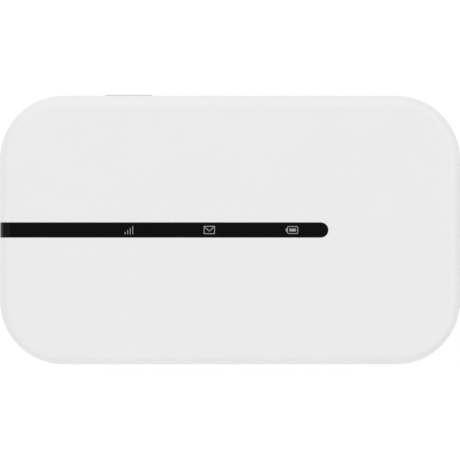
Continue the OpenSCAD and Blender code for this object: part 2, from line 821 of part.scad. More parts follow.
// Webs that tie the wells to the outer wall, and pads under the board.
module frame_webs() {
    pad = [3, 3];
    gap_y = (bay_size.y / 2 + side_y - frame_inset) / 2;
    gap = side_y - frame_inset - bay_size.y / 2;
    web_high = wall_high - 1;
    for (x = [bay_left + 2, 10, 36], y = [-1, 1])
        block([x, y * (cell_wid / 2 - 6), frame_top - 0.1], [pad.x, pad.y, board_pad + 0.1]);
    for (x = [-4, 16], y = [-1, 1]) block([x, y * gap_y, frame_z], [rib_wid, gap, web_high]);
    for (y = [-1, 1]) block([-end_x / 2 - 8, y * (cell_wid / 2), frame_z], [38, rib_wid, wall_high]);
    for (x = [14 - end_x, bay_left - 3]) block([x, 17, frame_z], [rib_wid, 18, wall_high]);
}

// Pillars round the screws, the reset cap and the hooks.
module frame_pillars() {
    pillar = 1;
    shaft = 1.3;
    for (p = screws) pin([p.x, p.y, frame_z], head_r + pillar, board_z - frame_z);
    pin([reset_at.x, reset_at.y, frame_z], reset_r + shaft, wall_high);
    at_hooks() block([0, -frame_inset - (hook_room + frame_wall) / 2, frame_z],
        [hook_wid + 0.6 + 2 * frame_wall, hook_room + frame_wall, wall_high]);
}

// Room for the battery, with a shallow recess for its label in the roof.
module battery_room() {
    label = [bay_size.x - 14, bay_size.y - 12];
    round_block([cell_x, 0, frame_z - over], [bay_size.x, bay_size.y, bay_top - frame_z + over], 1);
    round_block([cell_x + 2, 0, frame_z], [label.x, label.y, bay_top + label_deep - frame_z], 2);
    block([cell_left, 0, frame_z - over], [3, plug_size.y - 1.4, bay_top - frame_z + over]);
}

// Ribs in the bay that keep a battery from going in the wrong way round.
module key_ribs() {
    slack = 0.25;
    root = 0.1;
    len = key_notch.x - slack;
    for (s = [-1, 1])
        block([cell_left - cell_play + len / 2 - root, s * key_notch_y, bay_top - key_notch.z],
            [len, key_notch.y - 2 * slack, key_notch.z + root]);
}

module scoop(at, len)
    translate(at) rotate([0, 90, 0]) translate([0, 0, -len / 2]) cylinder(r = scoop_r, h = len);

// Everything cut out of the chassis.
module frame_cuts() {
    battery_room();
    round_block([well_at.x, well_at.y, frame_z - over], [well_size.x, well_size.y, deep_cut], 0.6);
    block([plug_at.x, 0, frame_z - over], [plug_well.x, plug_well.y, deep_cut]);
    for (p = screws) {
        pin([p.x, p.y, frame_z - over], head_r + 0.2, head_seat_z - frame_z + over);
        pin([p.x, p.y, frame_z], screw_r + clear, deep_cut);
    }
    pin([reset_at.x, reset_at.y, frame_z - over], reset_r + 0.2, deep_cut);
    block([reset_at.x, reset_at.y, frame_top - 1.2], [4.2, 3.6, deep_cut]);
    at_hooks() block([0, over - frame_inset - hook_room / 2, frame_z - over],
        [hook_wid + 0.6, hook_room + 2 * over, deep_cut]);
    translate([cell_right, 0, frame_z]) rotate(90) scoop([0, 0, 0], scoop_len);
    scoop([well_at.x, well_at.y + well_size.y / 2, frame_z], well_size.x - 6);
    block([-end_x, 0, usb_z - usb_high / 2 - 0.3], [2 * (usb_len + 1.6), usb_wid + 1, deep_cut]);
}

module mid_frame() color(frame_white) {
    difference() {
        union() {
            difference() {
                body_solid(frame_inset, frame_z, frame_top, frame_low_r, 0);
                body_solid(frame_inset + frame_wall, deck_top, frame_top + over, frame_low_r - frame_wall, 0);
            }
            inside_frame() {
                well_walls();
                scoop_backs();
                frame_webs();
                frame_pillars();
            }
        }
        frame_cuts();
    }
    key_ribs();
    for (p = peg_at) pin([p.x, p.y, deck_top - 0.1], peg_r, board_top + 0.4 - deck_top + 0.1);
}

cross = [1.7, 0.35, over + 0.45];

// Pan-head screw with a cross recess.
module frame_screws() color(steel) for (p = screws) translate([p.x, p.y, head_seat_z]) difference() {
    union() {
        translate([0, 0, -head_thk]) cylinder(r = head_r, h = head_thk);
        cylinder(r = screw_r, h = screw_len);
    }
    translate([0, 0, -head_thk - over]) for (a = [0, 90]) rotate(a) block([0, 0, 0], cross);
}

// ---------- reset button ----------

reset_switch_size = [3.6, 3, 1];
reset_cap_z = frame_z + 1.2;

module reset_switch() color(steel) difference() {
    block([reset_at.x, reset_at.y, board_z - reset_switch_size.z], reset_switch_size);
    pin([reset_at.x, reset_at.y, board_z - reset_switch_size.z - over], 0.85, over + 0.6);
}

// Cap with a narrower stem that reaches into the switch.
module reset_cap() color("#c8c8c8") {
    stem_z = board_z - 1.85;
    shoulder_z = board_z - 1.8;
    pin([reset_at.x, reset_at.y, reset_cap_z], reset_r, shoulder_z - reset_cap_z);
    pin([reset_at.x, reset_at.y, stem_z], 0.7, 1.1);
}

// ---------- antennas ----------

carrier_x = [board_right + 0.4, end_x - side_wall - 1.5];
carrier_mid = (carrier_x[0] + carrier_x[1]) / 2;
carrier_len = carrier_x[1] - carrier_x[0];
carrier_top = face_in_z - 0.2;
antenna_y = side_y - 6.2;
diversity_x = -19.5;
wifi_antenna_x = 12;

// Plastic block cored out from below.
module antenna_carrier() color("#c9c9c7") {
    high = carrier_top - frame_top;
    cell = [carrier_len - 1.6, 6.2];
    roof = 0.9;
    difference() {
        block([carrier_mid, 0, frame_top], [carrier_len, carrier_wid, high]);
        for (k = [-2:2]) block([carrier_mid, k * 7, frame_top - over], [cell.x, cell.y, high - roof + over]);
    }
}

// Folded foil on the carrier, with two legs down to the board.
module main_antenna() color(copper) {
    slot = [9, 1.2, 3];
    leg = [2, 2];
    difference() {
        block([carrier_mid, 0, carrier_top], [carrier_len, carrier_wid, foil]);
        for (s = [-1, 1]) {
            block([carrier_x[0], s * 6, carrier_top - over], slot);
            block([carrier_x[1], s * 11, carrier_top - over], slot);
        }
        block([carrier_x[0] + 2, 0, carrier_top - over], [1, 7, 3]);
    }
    for (s = [-1, 1]) {
        block([carrier_x[0] - foil / 2, s * 2.5, board_top], [foil, leg.y, carrier_top - board_top + foil]);
        block([carrier_x[0] - leg.x / 2, s * 2.5, board_top], [leg.x - foil, leg.y, foil]);
    }
}

// Foil strip folded into an S by two slots.
module flat_antenna(x, y, len) {
    wid = 5;
    slot = 0.7;
    z = face_in_z - foil;
    difference() {
        block([x, y, z], [len, wid, foil]);
        for (s = [-1, 1]) block([x + s * len / 6, y + s * wid / 6, z - over], [len / 1.2, slot, 3]);
    }
}

module diversity_antenna() color(copper) flat_antenna(diversity_x, -antenna_y, 17);
module wifi_antenna() color(copper) flat_antenna(wifi_antenna_x, antenna_y, 15);

// Bent leaf from the board up to an antenna.
module spring_leaf(x, y) {
    wid = 1.2;
    bend_r = 0.8;
    foot = 2.2;
    top = face_in_z - foil - 0.05;
    translate([x, y + wid / 2, 0]) rotate([90, 0, 0]) linear_extrude(wid) {
        translate([bend_r - foot, board_top]) square([foot, foil]);
        translate([bend_r, board_top + bend_r]) difference() {
            circle(bend_r);
            circle(bend_r - foil);
            translate([-1, -1]) square([1, 2]);
        }
        translate([-1.2, board_top + 2 * bend_r - foil]) square([2, foil]);
        translate([-1.2, board_top + 2 * bend_r - foil]) square([foil, top - board_top - 2 * bend_r + foil]);
        translate([-1.2, top - foil]) square([1.4, foil]);
    }
}

module antenna_springs() color(gold) {
    spring_leaf(diversity_x - 4.5, -antenna_y);
    spring_leaf(wifi_antenna_x + 5, antenna_y);
}

// ---------- battery ----------

module battery_cell() color("#3c3f45") {
    edge_r = 1.1;
    translate([cell_left + cap_len, 0, cell_z + cell_thk / 2]) rotate([90, 0, 90])
        linear_extrude(cell_len - cap_len) round_rect(cell_wid, cell_thk, edge_r);
}

// Moulded end with a recess for the contacts and two notches that key the battery.
module battery_end_cap() color(black_plastic) {
    edge_r = 0.6;
    face = [2 * (contact_drop + 0.05), 4 * blade_pitch + 0.6, cell_thk - 1.4];
    difference() {
        translate([cell_left, 0, cell_z + cell_thk / 2]) rotate([90, 0, 90])
            linear_extrude(cap_len) round_rect(cell_wid, cell_thk, edge_r);
        block([cell_left, 0, cell_z + 0.7], face);
        for (s = [-1, 1]) block([cell_left, s * key_notch_y, cell_z + cell_thk - key_notch.z],
            [2 * key_notch.x, key_notch.y, key_notch.z + over]);
    }
}

module battery_contacts() color(gold) {
    pad = [0.1, 1.7, cell_thk - 2];
    for (k = blade_row) block([cell_left + contact_drop, k * blade_pitch, cell_z + 1], pad);
}

// ---------- back cover ----------

nose_z = part_z + hook_high - 1.45;

// Arm with a nose that tapers towards its tip.
module snap_hook() {
    outer = -frame_inset;
    root = -cover_wall + 0.3;
    low = cover_floor + back_edge_r - cover_wall - 0.6;
    tip = part_z + hook_high;
    flat = 0.3;
    translate([hook_wid / 2, 0, 0]) rotate([0, -90, 0]) linear_extrude(hook_wid) polygon([
        [low, outer - hook_thk], [low, root], [part_z, root], [part_z, outer], [nose_z, outer],
        [nose_z, outer + nose_out], [nose_z + flat, outer + nose_out], [nose_z + nose_high, outer + 0.05],
        [tip, outer - 0.15], [tip, outer - hook_thk]]);
}

// Low ribs beside the battery's pad: a ladder under the card reader.
module cover_ribs() {
    root = 0.1;
    left = 12 - end_x;
    right = cell_left - 1;
    high = cover_rib + root;
    for (s = [-1, 1]) block([(left + right) / 2, s * 9, cover_floor - root], [right - left, rib_wid, high]);
    for (k = [0:2]) block([left + 7 * k, 0, cover_floor - root], [rib_wid, 40, high]);
}

// Raised lip that steps inside the front housing.
module cover_lip() difference() {
    body_solid(lip_inset, part_z - 0.1, part_z + lip_high);
    body_solid(cover_wall, part_z - over, part_z + over);
}

module back_cover() color(shell_white) difference() {
    union() {
        difference() {
            body_solid(0, 0, part_z, back_edge_r, 0);
            body_solid(cover_wall, cover_floor, part_z + over, back_edge_r - cover_wall, 0);
        }
        cover_lip();
        at_hooks() snap_hook();
        cover_ribs();
    }
    translate([end_x - 0.6, 0, part_z]) rotate([90, 0, 90])
        linear_extrude(2 * over) round_rect(nail_len, nail_high, nail_high / 2 - tiny);
}

module battery_pad() color("#5a5a5c")
    round_block([cell_x, 0, cover_floor], [cell_len - 14, cell_wid - 12, pad_thk], 2);

front_housing();
indicator_lens();
lens_adhesive();
light_shield();
light_guides();
indicator_leds();
power_key();
power_switch();
switch_plunger();
main_board();
modem_can_frame();
modem_can_lid();
radio_can_frame();
radio_can_lid();
wifi_can_frame();
wifi_can_lid();
power_can_frame();
power_can_lid();
modem_processor();
memory_chip();
radio_transceiver();
power_amplifiers();
wifi_chip();
power_manager();
charger_coils();
thermal_pads();
usb_shell();
usb_tongue();
usb_contacts();
sim_reader_shell();
sim_reader_base();
sim_contacts();
battery_connector();
battery_blades();
mid_frame();
frame_screws();
reset_switch();
reset_cap();
antenna_carrier();
main_antenna();
diversity_antenna();
wifi_antenna();
antenna_springs();
battery_cell();
battery_end_cap();
battery_contacts();
battery_pad();
back_cover();
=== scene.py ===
"""Looks of a pocket mobile hotspot, dressed around its packed construction model."""

import json
import logging
import math
from dataclasses import dataclass
from enum import Enum

import bmesh
import bpy
from mathutils import Matrix, Vector
from mathutils.kdtree import KDTree

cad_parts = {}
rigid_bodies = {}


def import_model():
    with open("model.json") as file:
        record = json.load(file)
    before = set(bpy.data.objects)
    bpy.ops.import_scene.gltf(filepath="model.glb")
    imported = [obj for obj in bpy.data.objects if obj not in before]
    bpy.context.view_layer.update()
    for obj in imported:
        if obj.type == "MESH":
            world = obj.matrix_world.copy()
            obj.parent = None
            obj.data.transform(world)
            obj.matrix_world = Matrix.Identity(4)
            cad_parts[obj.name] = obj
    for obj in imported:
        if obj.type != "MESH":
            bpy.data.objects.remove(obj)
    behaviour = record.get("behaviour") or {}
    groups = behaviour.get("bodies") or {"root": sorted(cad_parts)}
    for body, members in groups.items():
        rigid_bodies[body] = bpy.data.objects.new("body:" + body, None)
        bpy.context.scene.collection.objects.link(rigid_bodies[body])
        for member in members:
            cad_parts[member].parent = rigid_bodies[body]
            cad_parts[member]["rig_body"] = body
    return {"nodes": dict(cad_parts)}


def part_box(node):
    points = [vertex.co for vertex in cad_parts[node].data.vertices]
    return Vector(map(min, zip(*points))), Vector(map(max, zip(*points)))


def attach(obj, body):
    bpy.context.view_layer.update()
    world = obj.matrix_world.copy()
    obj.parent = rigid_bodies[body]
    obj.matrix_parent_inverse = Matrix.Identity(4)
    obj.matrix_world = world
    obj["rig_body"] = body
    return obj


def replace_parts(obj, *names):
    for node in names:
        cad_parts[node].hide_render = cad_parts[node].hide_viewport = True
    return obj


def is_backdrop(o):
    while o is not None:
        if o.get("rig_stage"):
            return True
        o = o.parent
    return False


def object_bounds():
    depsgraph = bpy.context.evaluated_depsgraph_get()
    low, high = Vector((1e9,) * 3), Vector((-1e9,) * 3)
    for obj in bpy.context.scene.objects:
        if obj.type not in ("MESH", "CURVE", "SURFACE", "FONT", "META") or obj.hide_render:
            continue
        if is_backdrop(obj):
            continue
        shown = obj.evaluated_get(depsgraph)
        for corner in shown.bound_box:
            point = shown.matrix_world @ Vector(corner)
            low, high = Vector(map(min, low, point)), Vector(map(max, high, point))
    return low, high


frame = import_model()

LOG = logging.getLogger("hotspot")
MM = 0.001
Colour = tuple[float, float, float, float]
Point = tuple[float, float]
Shape = bmesh.types.BMesh
Tree = bpy.types.NodeTree
Socket = bpy.types.NodeSocket


# ---------------------------------------------------------------- small tools


def srgb(code: str) -> Colour:
    """Turn an sRGB hex code into linear light.

    Args:
        code: Six hex digits after a hash, such as "#ececea".

    Returns:
        Linear red, green and blue, and an alpha of 1.
    """
    parts = [int(code[i : i + 2], 16) / 255 for i in (1, 3, 5)]
    linear = [c / 12.92 if c <= 0.04045 else ((c + 0.055) / 1.055) ** 2.4 for c in parts]
    return (linear[0], linear[1], linear[2], 1.0)


def add_node(
    tree: Tree,
    kind: str,
    settings: dict[str | int, object] | None = None,
    links: dict[str | int, Socket] | None = None,
) -> bpy.types.Node:
    """Add one shader node with its settings and the links that feed it.

    Args:
        tree: Node tree that receives the node.
        kind: Node type, such as "ShaderNodeBump".
        settings: Values by socket name or number, or by property name.
        links: Sockets that feed the inputs, by socket name or number.

    Returns:
        The new node.
    """
    node = tree.nodes.new(kind)
    for key, value in (settings or {}).items():
        if isinstance(key, int) or key in node.inputs:
            node.inputs[key].default_value = value
        else:
            setattr(node, key, value)
    for key, source in (links or {}).items():
        tree.links.new(source, node.inputs[key])
    return node


def per_mm(size: float) -> float:
    """Scale of a texture node whose cells are size millimetres across."""
    return 1 / (size * MM)


# ---------------------------------------------------------------- finishes


POLISH_SPREAD = 0.1  # how far handling moves the roughness either way, as a share of it
WAVE_PERIOD = math.tau / 20  # length of one wave of a wave texture at scale 1


@dataclass(frozen=True)
class Finish:
    """A surface made one way from one material.

    Attributes:
        name: The real material and how it was made.
        colour: Its colour as an sRGB hex code.
        roughness: Microscopic roughness, from 0 to 1.
        slot: The record's name for it, where it has one; not used.
        metallic: 1 for a bare metal.
        ior: Index of refraction of a plastic or paint.
        grain_mm: Spacing of its fine texture.
        grain_depth_mm: Depth of that texture.
        shade: How far the colour drifts over the surface.
        drift_mm: Size of the drifting patches.
        clear: How much light passes, from 0 to 1.
    """

    name: str
    colour: str
    roughness: float
    slot: str = ""
    metallic: float = 0.0
    ior: float = 1.5
    grain_mm: float = 0.3
    grain_depth_mm: float = 0.004
    shade: float = 0.02
    drift_mm: float = 14.0
    clear: float = 0.0

    def build(self) -> bpy.types.Material:
        """Make the material once.

        Returns:
            The new material, or the one that is there already.
        """
        known = bpy.data.materials.get(self.name)
        if known:
            return known
        material = bpy.data.materials.new(self.name)
        material.use_nodes = True
        tree = material.node_tree
        tree.nodes.clear()
        place = add_node(tree, "ShaderNodeTexCoord").outputs["Object"]
        shader = add_node(
            tree,
            "ShaderNodeBsdfPrincipled",
            {"Metallic": self.metallic, "Transmission Weight": self.clear},
            {
                "Base Color": self.tint(tree, place),
                "Roughness": self.polish(tree, place),
                "Normal": self.relief(tree, place),
            },
        )
        if not self.metallic:
            shader.inputs["IOR"].default_value = self.ior
        add_node(tree, "ShaderNodeOutputMaterial", links={"Surface": shader.outputs[0]})
        return material

    def pattern(self, tree: Tree, place: Socket, size: float, detail: float) -> Socket:
        """Cloudy pattern that the colour, the polish and the relief draw on.

        Args:
            tree: The material's nodes.
            place: Coordinates on the piece.
            size: Size of a cloud in millimetres.
            detail: How many finer layers it has.

        Returns:
            A value from 0 to 1.
        """
        settings = {"Scale": per_mm(size), "Detail": detail}
        return add_node(tree, "ShaderNodeTexNoise", settings, {"Vector": place}).outputs["Fac"]

    def height(self, tree: Tree, place: Socket) -> Socket:
        """Height of the fine texture, from 0 to 1."""
        return self.pattern(tree, place, self.grain_mm, detail=2.0)

    def tint(self, tree: Tree, place: Socket) -> Socket:
        """Colour that drifts a little from patch to patch.

        Args:
            tree: The material's nodes.
            place: Coordinates on the piece.

        Returns:
            The colour.
        """
        base = srgb(self.colour)
        dark = (*(c * (1 - self.shade) for c in base[:3]), 1.0)
        patches = self.pattern(tree, place, self.drift_mm, detail=3.0)
        return add_node(tree, "ShaderNodeMix", {"data_type": "RGBA", 6: dark, 7: base}, {0: patches}).outputs[2]

    def polish(self, tree: Tree, place: Socket) -> Socket:
        """Roughness that follows faint handling marks, a third the size of the patches of colour.

        Args:
            tree: The material's nodes.
            place: Coordinates on the piece.

        Returns:
            The roughness.
        """
        marks = self.pattern(tree, place, self.drift_mm / 3, detail=5.0)
        limits = {
            "To Min": self.roughness * (1 - POLISH_SPREAD),
            "To Max": min(1.0, self.roughness * (1 + POLISH_SPREAD)),
        }
        return add_node(tree, "ShaderNodeMapRange", limits, {"Value": marks}).outputs["Result"]

    def relief(self, tree: Tree, place: Socket) -> Socket:
        """Normal of the fine texture."""
        depth = {"Strength": 1.0, "Distance": self.grain_depth_mm * MM}
        return add_node(tree, "ShaderNodeBump", depth, {"Height": self.height(tree, place)}).outputs["Normal"]


@dataclass(frozen=True)
class ErodedMoulding(Finish):
    """Plastic from a spark-eroded mould, which leaves it covered in tiny even pits.

    Attributes:
        pit_smoothness: How softly the pits run into each other, from 0 to 1.
    """

    pit_smoothness: float = 0.7

    def height(self, tree: Tree, place: Socket) -> Socket:
        """Pits of one size, uneven in depth over patches three pits wide.

        Args:
            tree: The material's nodes.
            place: Coordinates on the piece.

        Returns:
            A height from 0 to 1.
        """
        pits = add_node(
            tree,
            "ShaderNodeTexVoronoi",
            {"feature": "SMOOTH_F1", "Scale": per_mm(self.grain_mm), "Smoothness": self.pit_smoothness},
            {"Vector": place},
        )
        uneven = self.pattern(tree, place, self.grain_mm * 3, detail=2.0)
        return add_node(
            tree, "ShaderNodeMath", {"operation": "MULTIPLY"}, {0: pits.outputs["Distance"], 1: uneven}
        ).outputs[0]


@dataclass(frozen=True)
class RolledSheet(Finish):
    """Sheet metal with the long fine lines that rolling left in it.

    Attributes:
        stretch: How much longer the lines are than they are wide.
    """

    stretch: float = 16.0

    def pattern(self, tree: Tree, place: Socket, size: float, detail: float) -> Socket:
        """Clouds drawn out along the sheet."""
        drawn = add_node(tree, "ShaderNodeMapping", {"Scale": (1 / self.stretch, 1.0, 1.0)}, {"Vector": place})
        return super().pattern(tree, drawn.outputs[0], size, detail)


@dataclass(frozen=True)
class SolderMask(Finish):
    """Lacquer over etched copper: tracks and solid areas show lighter and raised, vias as small dots.

    Attributes:
        copper: Colour of the lacquer where copper lies under it.
        pitch_mm: Spacing of the tracks, drawn twice as wide as real so that they show.
        track_level: Where in a wave from 0 to 1 a track starts.
        field_mm: Size of a field in which the tracks run one way, or the copper is solid.
        tracked: Share of the fields that hold tracks, the rest being solid copper.
        via: Colour of a tinned via.
        via_mm: Spacing of the vias.
        via_radius: Radius of a via, as a share of their spacing.
        cut: Colour of the glass epoxy where the board is cut to shape.
    """

    copper: str = "#2f6b4e"
    pitch_mm: float = 0.6
    track_level: float = 0.6
    field_mm: float = 5.0
    tracked: float = 0.55
    via: str = "#8f9a62"
    via_mm: float = 1.9
    via_radius: float = 0.11
    cut: str = "#77804e"

    def tracks(self, tree: Tree, place: Socket) -> Socket:
        """Copper, in fields of tracks that run one way or the other and in solid fields.

        Args:
            tree: The material's nodes.
            place: Coordinates on the board.

        Returns:
            1 on copper and 0 beside it.
        """
        flat = add_node(tree, "ShaderNodeMapping", {"Scale": (1.0, 1.0, 0.0)}, {"Vector": place}).outputs[0]
        runs = [
            add_node(
                tree,
                "ShaderNodeTexWave",
                {"bands_direction": way, "Scale": WAVE_PERIOD * per_mm(self.pitch_mm)},
                {"Vector": flat},
            ).outputs["Fac"]
            for way in ("X", "Y")
        ]
        fields = add_node(
            tree, "ShaderNodeTexVoronoi", {"distance": "CHEBYCHEV", "Scale": per_mm(self.field_mm)}, {"Vector": flat}
        )
        draw = add_node(tree, "ShaderNodeSeparateColor", links={0: fields.outputs["Color"]}).outputs
        side = add_node(tree, "ShaderNodeMath", {"operation": "GREATER_THAN"}, {0: draw["Red"]})
        lines = add_node(
            tree, "ShaderNodeMix", {"data_type": "FLOAT"}, {0: side.outputs[0], 2: runs[0], 3: runs[1]}
        )
        copper = add_node(
            tree, "ShaderNodeMath", {"operation": "GREATER_THAN", 1: self.track_level}, {0: lines.outputs[0]}
        )
        solid = add_node(tree, "ShaderNodeMath", {"operation": "GREATER_THAN", 1: self.tracked}, {0: draw["Green"]})
        return add_node(
            tree, "ShaderNodeMath", {"operation": "MAXIMUM"}, {0: copper.outputs[0], 1: solid.outputs[0]}
        ).outputs[0]

    def height(self, tree: Tree, place: Socket) -> Socket:
        """The tracks stand up under the lacquer."""
        return self.tracks(tree, place)

    def tint(self, tree: Tree, place: Socket) -> Socket:
        """Lacquer over laminate, over tracks and over vias, and bare laminate where the board is cut.

        Args:
            tree: The material's nodes.
            place: Coordinates on the board.

        Returns:
            The colour.
        """
        sheet = super().tint(tree, place)
        over_copper = add_node(
            tree, "ShaderNodeMix", {"data_type": "RGBA", 7: srgb(self.copper)}, {0: self.tracks(tree, place), 6: sheet}
        )
        vias = add_node(tree, "ShaderNodeTexVoronoi", {"Scale": per_mm(self.via_mm)}, {"Vector": place})
        dot = add_node(
            tree, "ShaderNodeMath", {"operation": "LESS_THAN", 1: self.via_radius}, {0: vias.outputs["Distance"]}
        )
        face = add_node(
            tree,
            "ShaderNodeMix",
            {"data_type": "RGBA", 7: srgb(self.via)},
            {0: dot.outputs[0], 6: over_copper.outputs[2]},
        )
        way = add_node(tree, "ShaderNodeTexCoord").outputs["Normal"]
        upright = add_node(tree, "ShaderNodeSeparateXYZ", links={0: way}).outputs["Z"]
        steep = add_node(tree, "ShaderNodeMath", {"operation": "ABSOLUTE"}, {0: upright})
        lacquered = add_node(tree, "ShaderNodeMath", {"operation": "GREATER_THAN"}, {0: steep.outputs[0]})
        return add_node(
            tree,
            "ShaderNodeMix",
            {"data_type": "RGBA", 6: srgb(self.cut)},
            {0: lacquered.outputs[0], 7: face.outputs[2]},
        ).outputs[2]


@dataclass(frozen=True)
class CellFoam(Finish):
    """Foam whose skin shows the cells under it."""

    def height(self, tree: Tree, place: Socket) -> Socket:
        """Round cells with walls between them."""
        settings = {"feature": "DISTANCE_TO_EDGE", "Scale": per_mm(self.grain_mm)}
        return add_node(tree, "ShaderNodeTexVoronoi", settings, {"Vector": place}).outputs["Distance"]


class Palette(Enum):
    """Every finish on the object, named for the real material and how it was made."""

    # polycarbonate blend from a spark-eroded mould: even white, soft sheen; pits of 0.05 mm drawn 0.4 mm wide
    SHELL = ErodedMoulding(
        "moulded_white_polycarbonate", "#ededed", 0.42, slot="shell_white", ior=1.55, grain_mm=0.4,
        grain_depth_mm=0.012, shade=0.012
    )
    # smoked acrylic from a polished mould: near black and glossy, with a slow ripple
    LENS = Finish(
        "polished_smoked_acrylic", "#131315", 0.08, slot="smoked_lens", ior=1.3, grain_mm=3.0, grain_depth_mm=0.0006,
        shade=0.2
    )
    # screen-printed ink: mid grey, flat and matt, with the print mesh of 0.1 mm in it
    INK = Finish("screen_printed_grey_ink", "#9c9c9c", 0.6, grain_mm=0.1, grain_depth_mm=0.001)
    # white epoxy ink on the circuit board: matt and slightly broken
    LEGEND = Finish("screen_printed_white_epoxy", "#dcdcd6", 0.55, grain_mm=0.15, grain_depth_mm=0.004, shade=0.08)
    # pad-printed ink in the key's dish: mid grey, flat and matt
    SIGN = Finish("pad_printed_grey_ink", "#8c8c8c", 0.55, grain_mm=0.1, grain_depth_mm=0.001)
    # ABS from a finely eroded mould: satin, a shade darker than the shell; pits of 0.04 mm drawn 0.25 mm wide
    KEY = ErodedMoulding(
        "moulded_grey_abs", "#cccccc", 0.36, slot="key_grey", ior=1.54, grain_mm=0.25, grain_depth_mm=0.006
    )
    # ABS from a coarsely eroded mould: matt, with faint flow marks; pits of 0.1 mm drawn 0.45 mm wide
    CHASSIS = ErodedMoulding(
        "moulded_pale_grey_abs", "#d6d6d4", 0.52, slot="chassis_plastic", ior=1.54, grain_mm=0.45,
        grain_depth_mm=0.02, shade=0.05, drift_mm=9.0
    )
    # glass-filled nylon from an eroded mould: matt black and dry; pits of 0.06 mm drawn 0.3 mm wide
    BLACK = ErodedMoulding(
        "moulded_black_nylon", "#1b1b1d", 0.5, slot="black_moulding", ior=1.53, grain_mm=0.3, grain_depth_mm=0.012,
        shade=0.15
    )
    # natural nylon from a plain mould: milky and even
    NATURAL = Finish("moulded_natural_nylon", "#e2ddcf", 0.42, slot="switch_stem", ior=1.53, grain_mm=0.3, shade=0.04)
    # stamped and nickel plated: bright, rolling lines under the plating; lines of 0.03 mm drawn 0.12 mm wide
    STEEL = RolledSheet(
        "stamped_nickel_plated_steel", "#b4b6ba", 0.28, slot="stamped_steel", metallic=1.0, grain_mm=0.12,
        grain_depth_mm=0.0015, shade=0.08
    )
    # turned and nickel plated: bright and even, with faint marks of the tool
    SCREW = Finish(
        "turned_nickel_plated_steel", "#a9acb1", 0.25, slot="screw_steel", metallic=1.0, grain_mm=0.2, shade=0.1,
        drift_mm=2.0
    )
    # tinplate drawn in a press: soft grey, clear rolling lines of 0.04 mm drawn 0.16 mm wide
    TIN = RolledSheet(
        "drawn_tinplate", "#c3c6c9", 0.34, slot="tinned_can", metallic=1.0, grain_mm=0.16, grain_depth_mm=0.002,
        shade=0.1, drift_mm=6.0
    )
    # reflowed tin on the parts' ends: bright and slightly lumpy
    SOLDER = Finish("reflowed_tin_solder", "#cfd1d3", 0.22, metallic=1.0, grain_mm=0.25, grain_depth_mm=0.01)
    # thin gold over bronze: warm and smooth
    GOLD = Finish(
        "gold_plated_bronze", "#d9b45c", 0.22, slot="gold_contact", metallic=1.0, grain_depth_mm=0.001, shade=0.05,
        drift_mm=2.0
    )
    # copper foil, etched to shape: warm, a little dull, rolling lines of 0.03 mm drawn 0.15 mm wide
    COPPER = RolledSheet(
        "etched_copper_foil", "#b9794a", 0.35, slot="antenna_metal", metallic=1.0, grain_mm=0.15,
        grain_depth_mm=0.002, shade=0.15, drift_mm=5.0
    )
    # green lacquer over glass epoxy: glossy, tracks and vias under it, drawn twice as wide as real
    BOARD = SolderMask(
        "solder_mask_over_glass_epoxy", "#1a4636", 0.3, slot="circuit_board", ior=1.52, grain_depth_mm=0.03,
        shade=0.15
    )
    # filled epoxy from a matt mould: dark, dry and finely pitted; pits of 0.04 mm drawn 0.12 mm wide
    CHIP = Finish(
        "moulded_epoxy_package", "#1a1b1d", 0.55, slot="chip_package", ior=1.55, grain_mm=0.12, grain_depth_mm=0.006,
        shade=0.12
    )
    # barium titanate body of a small capacitor: tan and dull
    CERAMIC = Finish(
        "fired_ceramic", "#a9855c", 0.5, ior=1.6, grain_mm=0.1, grain_depth_mm=0.003, shade=0.15, drift_mm=0.7
    )
    # glazed resistor film: black and glossy
    GLAZE = Finish("glazed_resistor_film", "#18181b", 0.2, ior=1.6, grain_mm=0.4, grain_depth_mm=0.002, shade=0.1)
    # pressed ferrite powder: grey, dull, crumbly at the edges
    FERRITE = Finish(
        "pressed_ferrite", "#5c5b5c", 0.6, slot="coil_ferrite", ior=1.6, grain_mm=0.15, grain_depth_mm=0.012,
        shade=0.2, drift_mm=1.5
    )
    # silicone sheet filled with ceramic: chalky and soft
    SILICONE = Finish(
        "filled_silicone_pad", "#8a95a4", 0.75, slot="thermal_rubber", ior=1.42, grain_depth_mm=0.015, shade=0.08,
        drift_mm=3.0
    )
    # clear acrylic from a polished mould: see-through
    CLEAR = Finish(
        "clear_moulded_acrylic", "#f4f8fb", 0.06, slot="clear_guide", ior=1.49, grain_mm=2.0, grain_depth_mm=0.0005,
        clear=1.0
    )
    # white reflector with yellow phosphor over it: milky
    LED = Finish(
        "white_led_package", "#efe4b8", 0.35, slot="led_package", ior=1.5, grain_mm=0.2, grain_depth_mm=0.002,
        shade=0.12, drift_mm=0.8
    )
    # acrylic tape: dark and dull, slightly wrinkled
    TAPE = Finish("double_sided_tape", "#2c2c2e", 0.7, slot="adhesive", grain_mm=0.5, grain_depth_mm=0.006, shade=0.1)
    # foam sheet, skived to thickness: dull, with cut cells of 0.35 mm
    FOAM = CellFoam(
        "closed_cell_foam", "#4d4e50", 0.9, slot="foam_pad", ior=1.4, grain_mm=0.35, grain_depth_mm=0.05, shade=0.2
    )
    # polyester film shrunk round the cell: satin, long faint wrinkles
    WRAP = RolledSheet(
        "shrunk_polyester_film", "#2f3338", 0.3, slot="battery_wrap", ior=1.58, grain_mm=1.6, grain_depth_mm=0.012,
        shade=0.1, stretch=5.0
    )
    # pale ink on the film: satin
    PALE = Finish("gravure_printed_pale_ink", "#c9cccf", 0.35, grain_mm=0.12, grain_depth_mm=0.001)


# ---------------------------------------------------------------- shaping


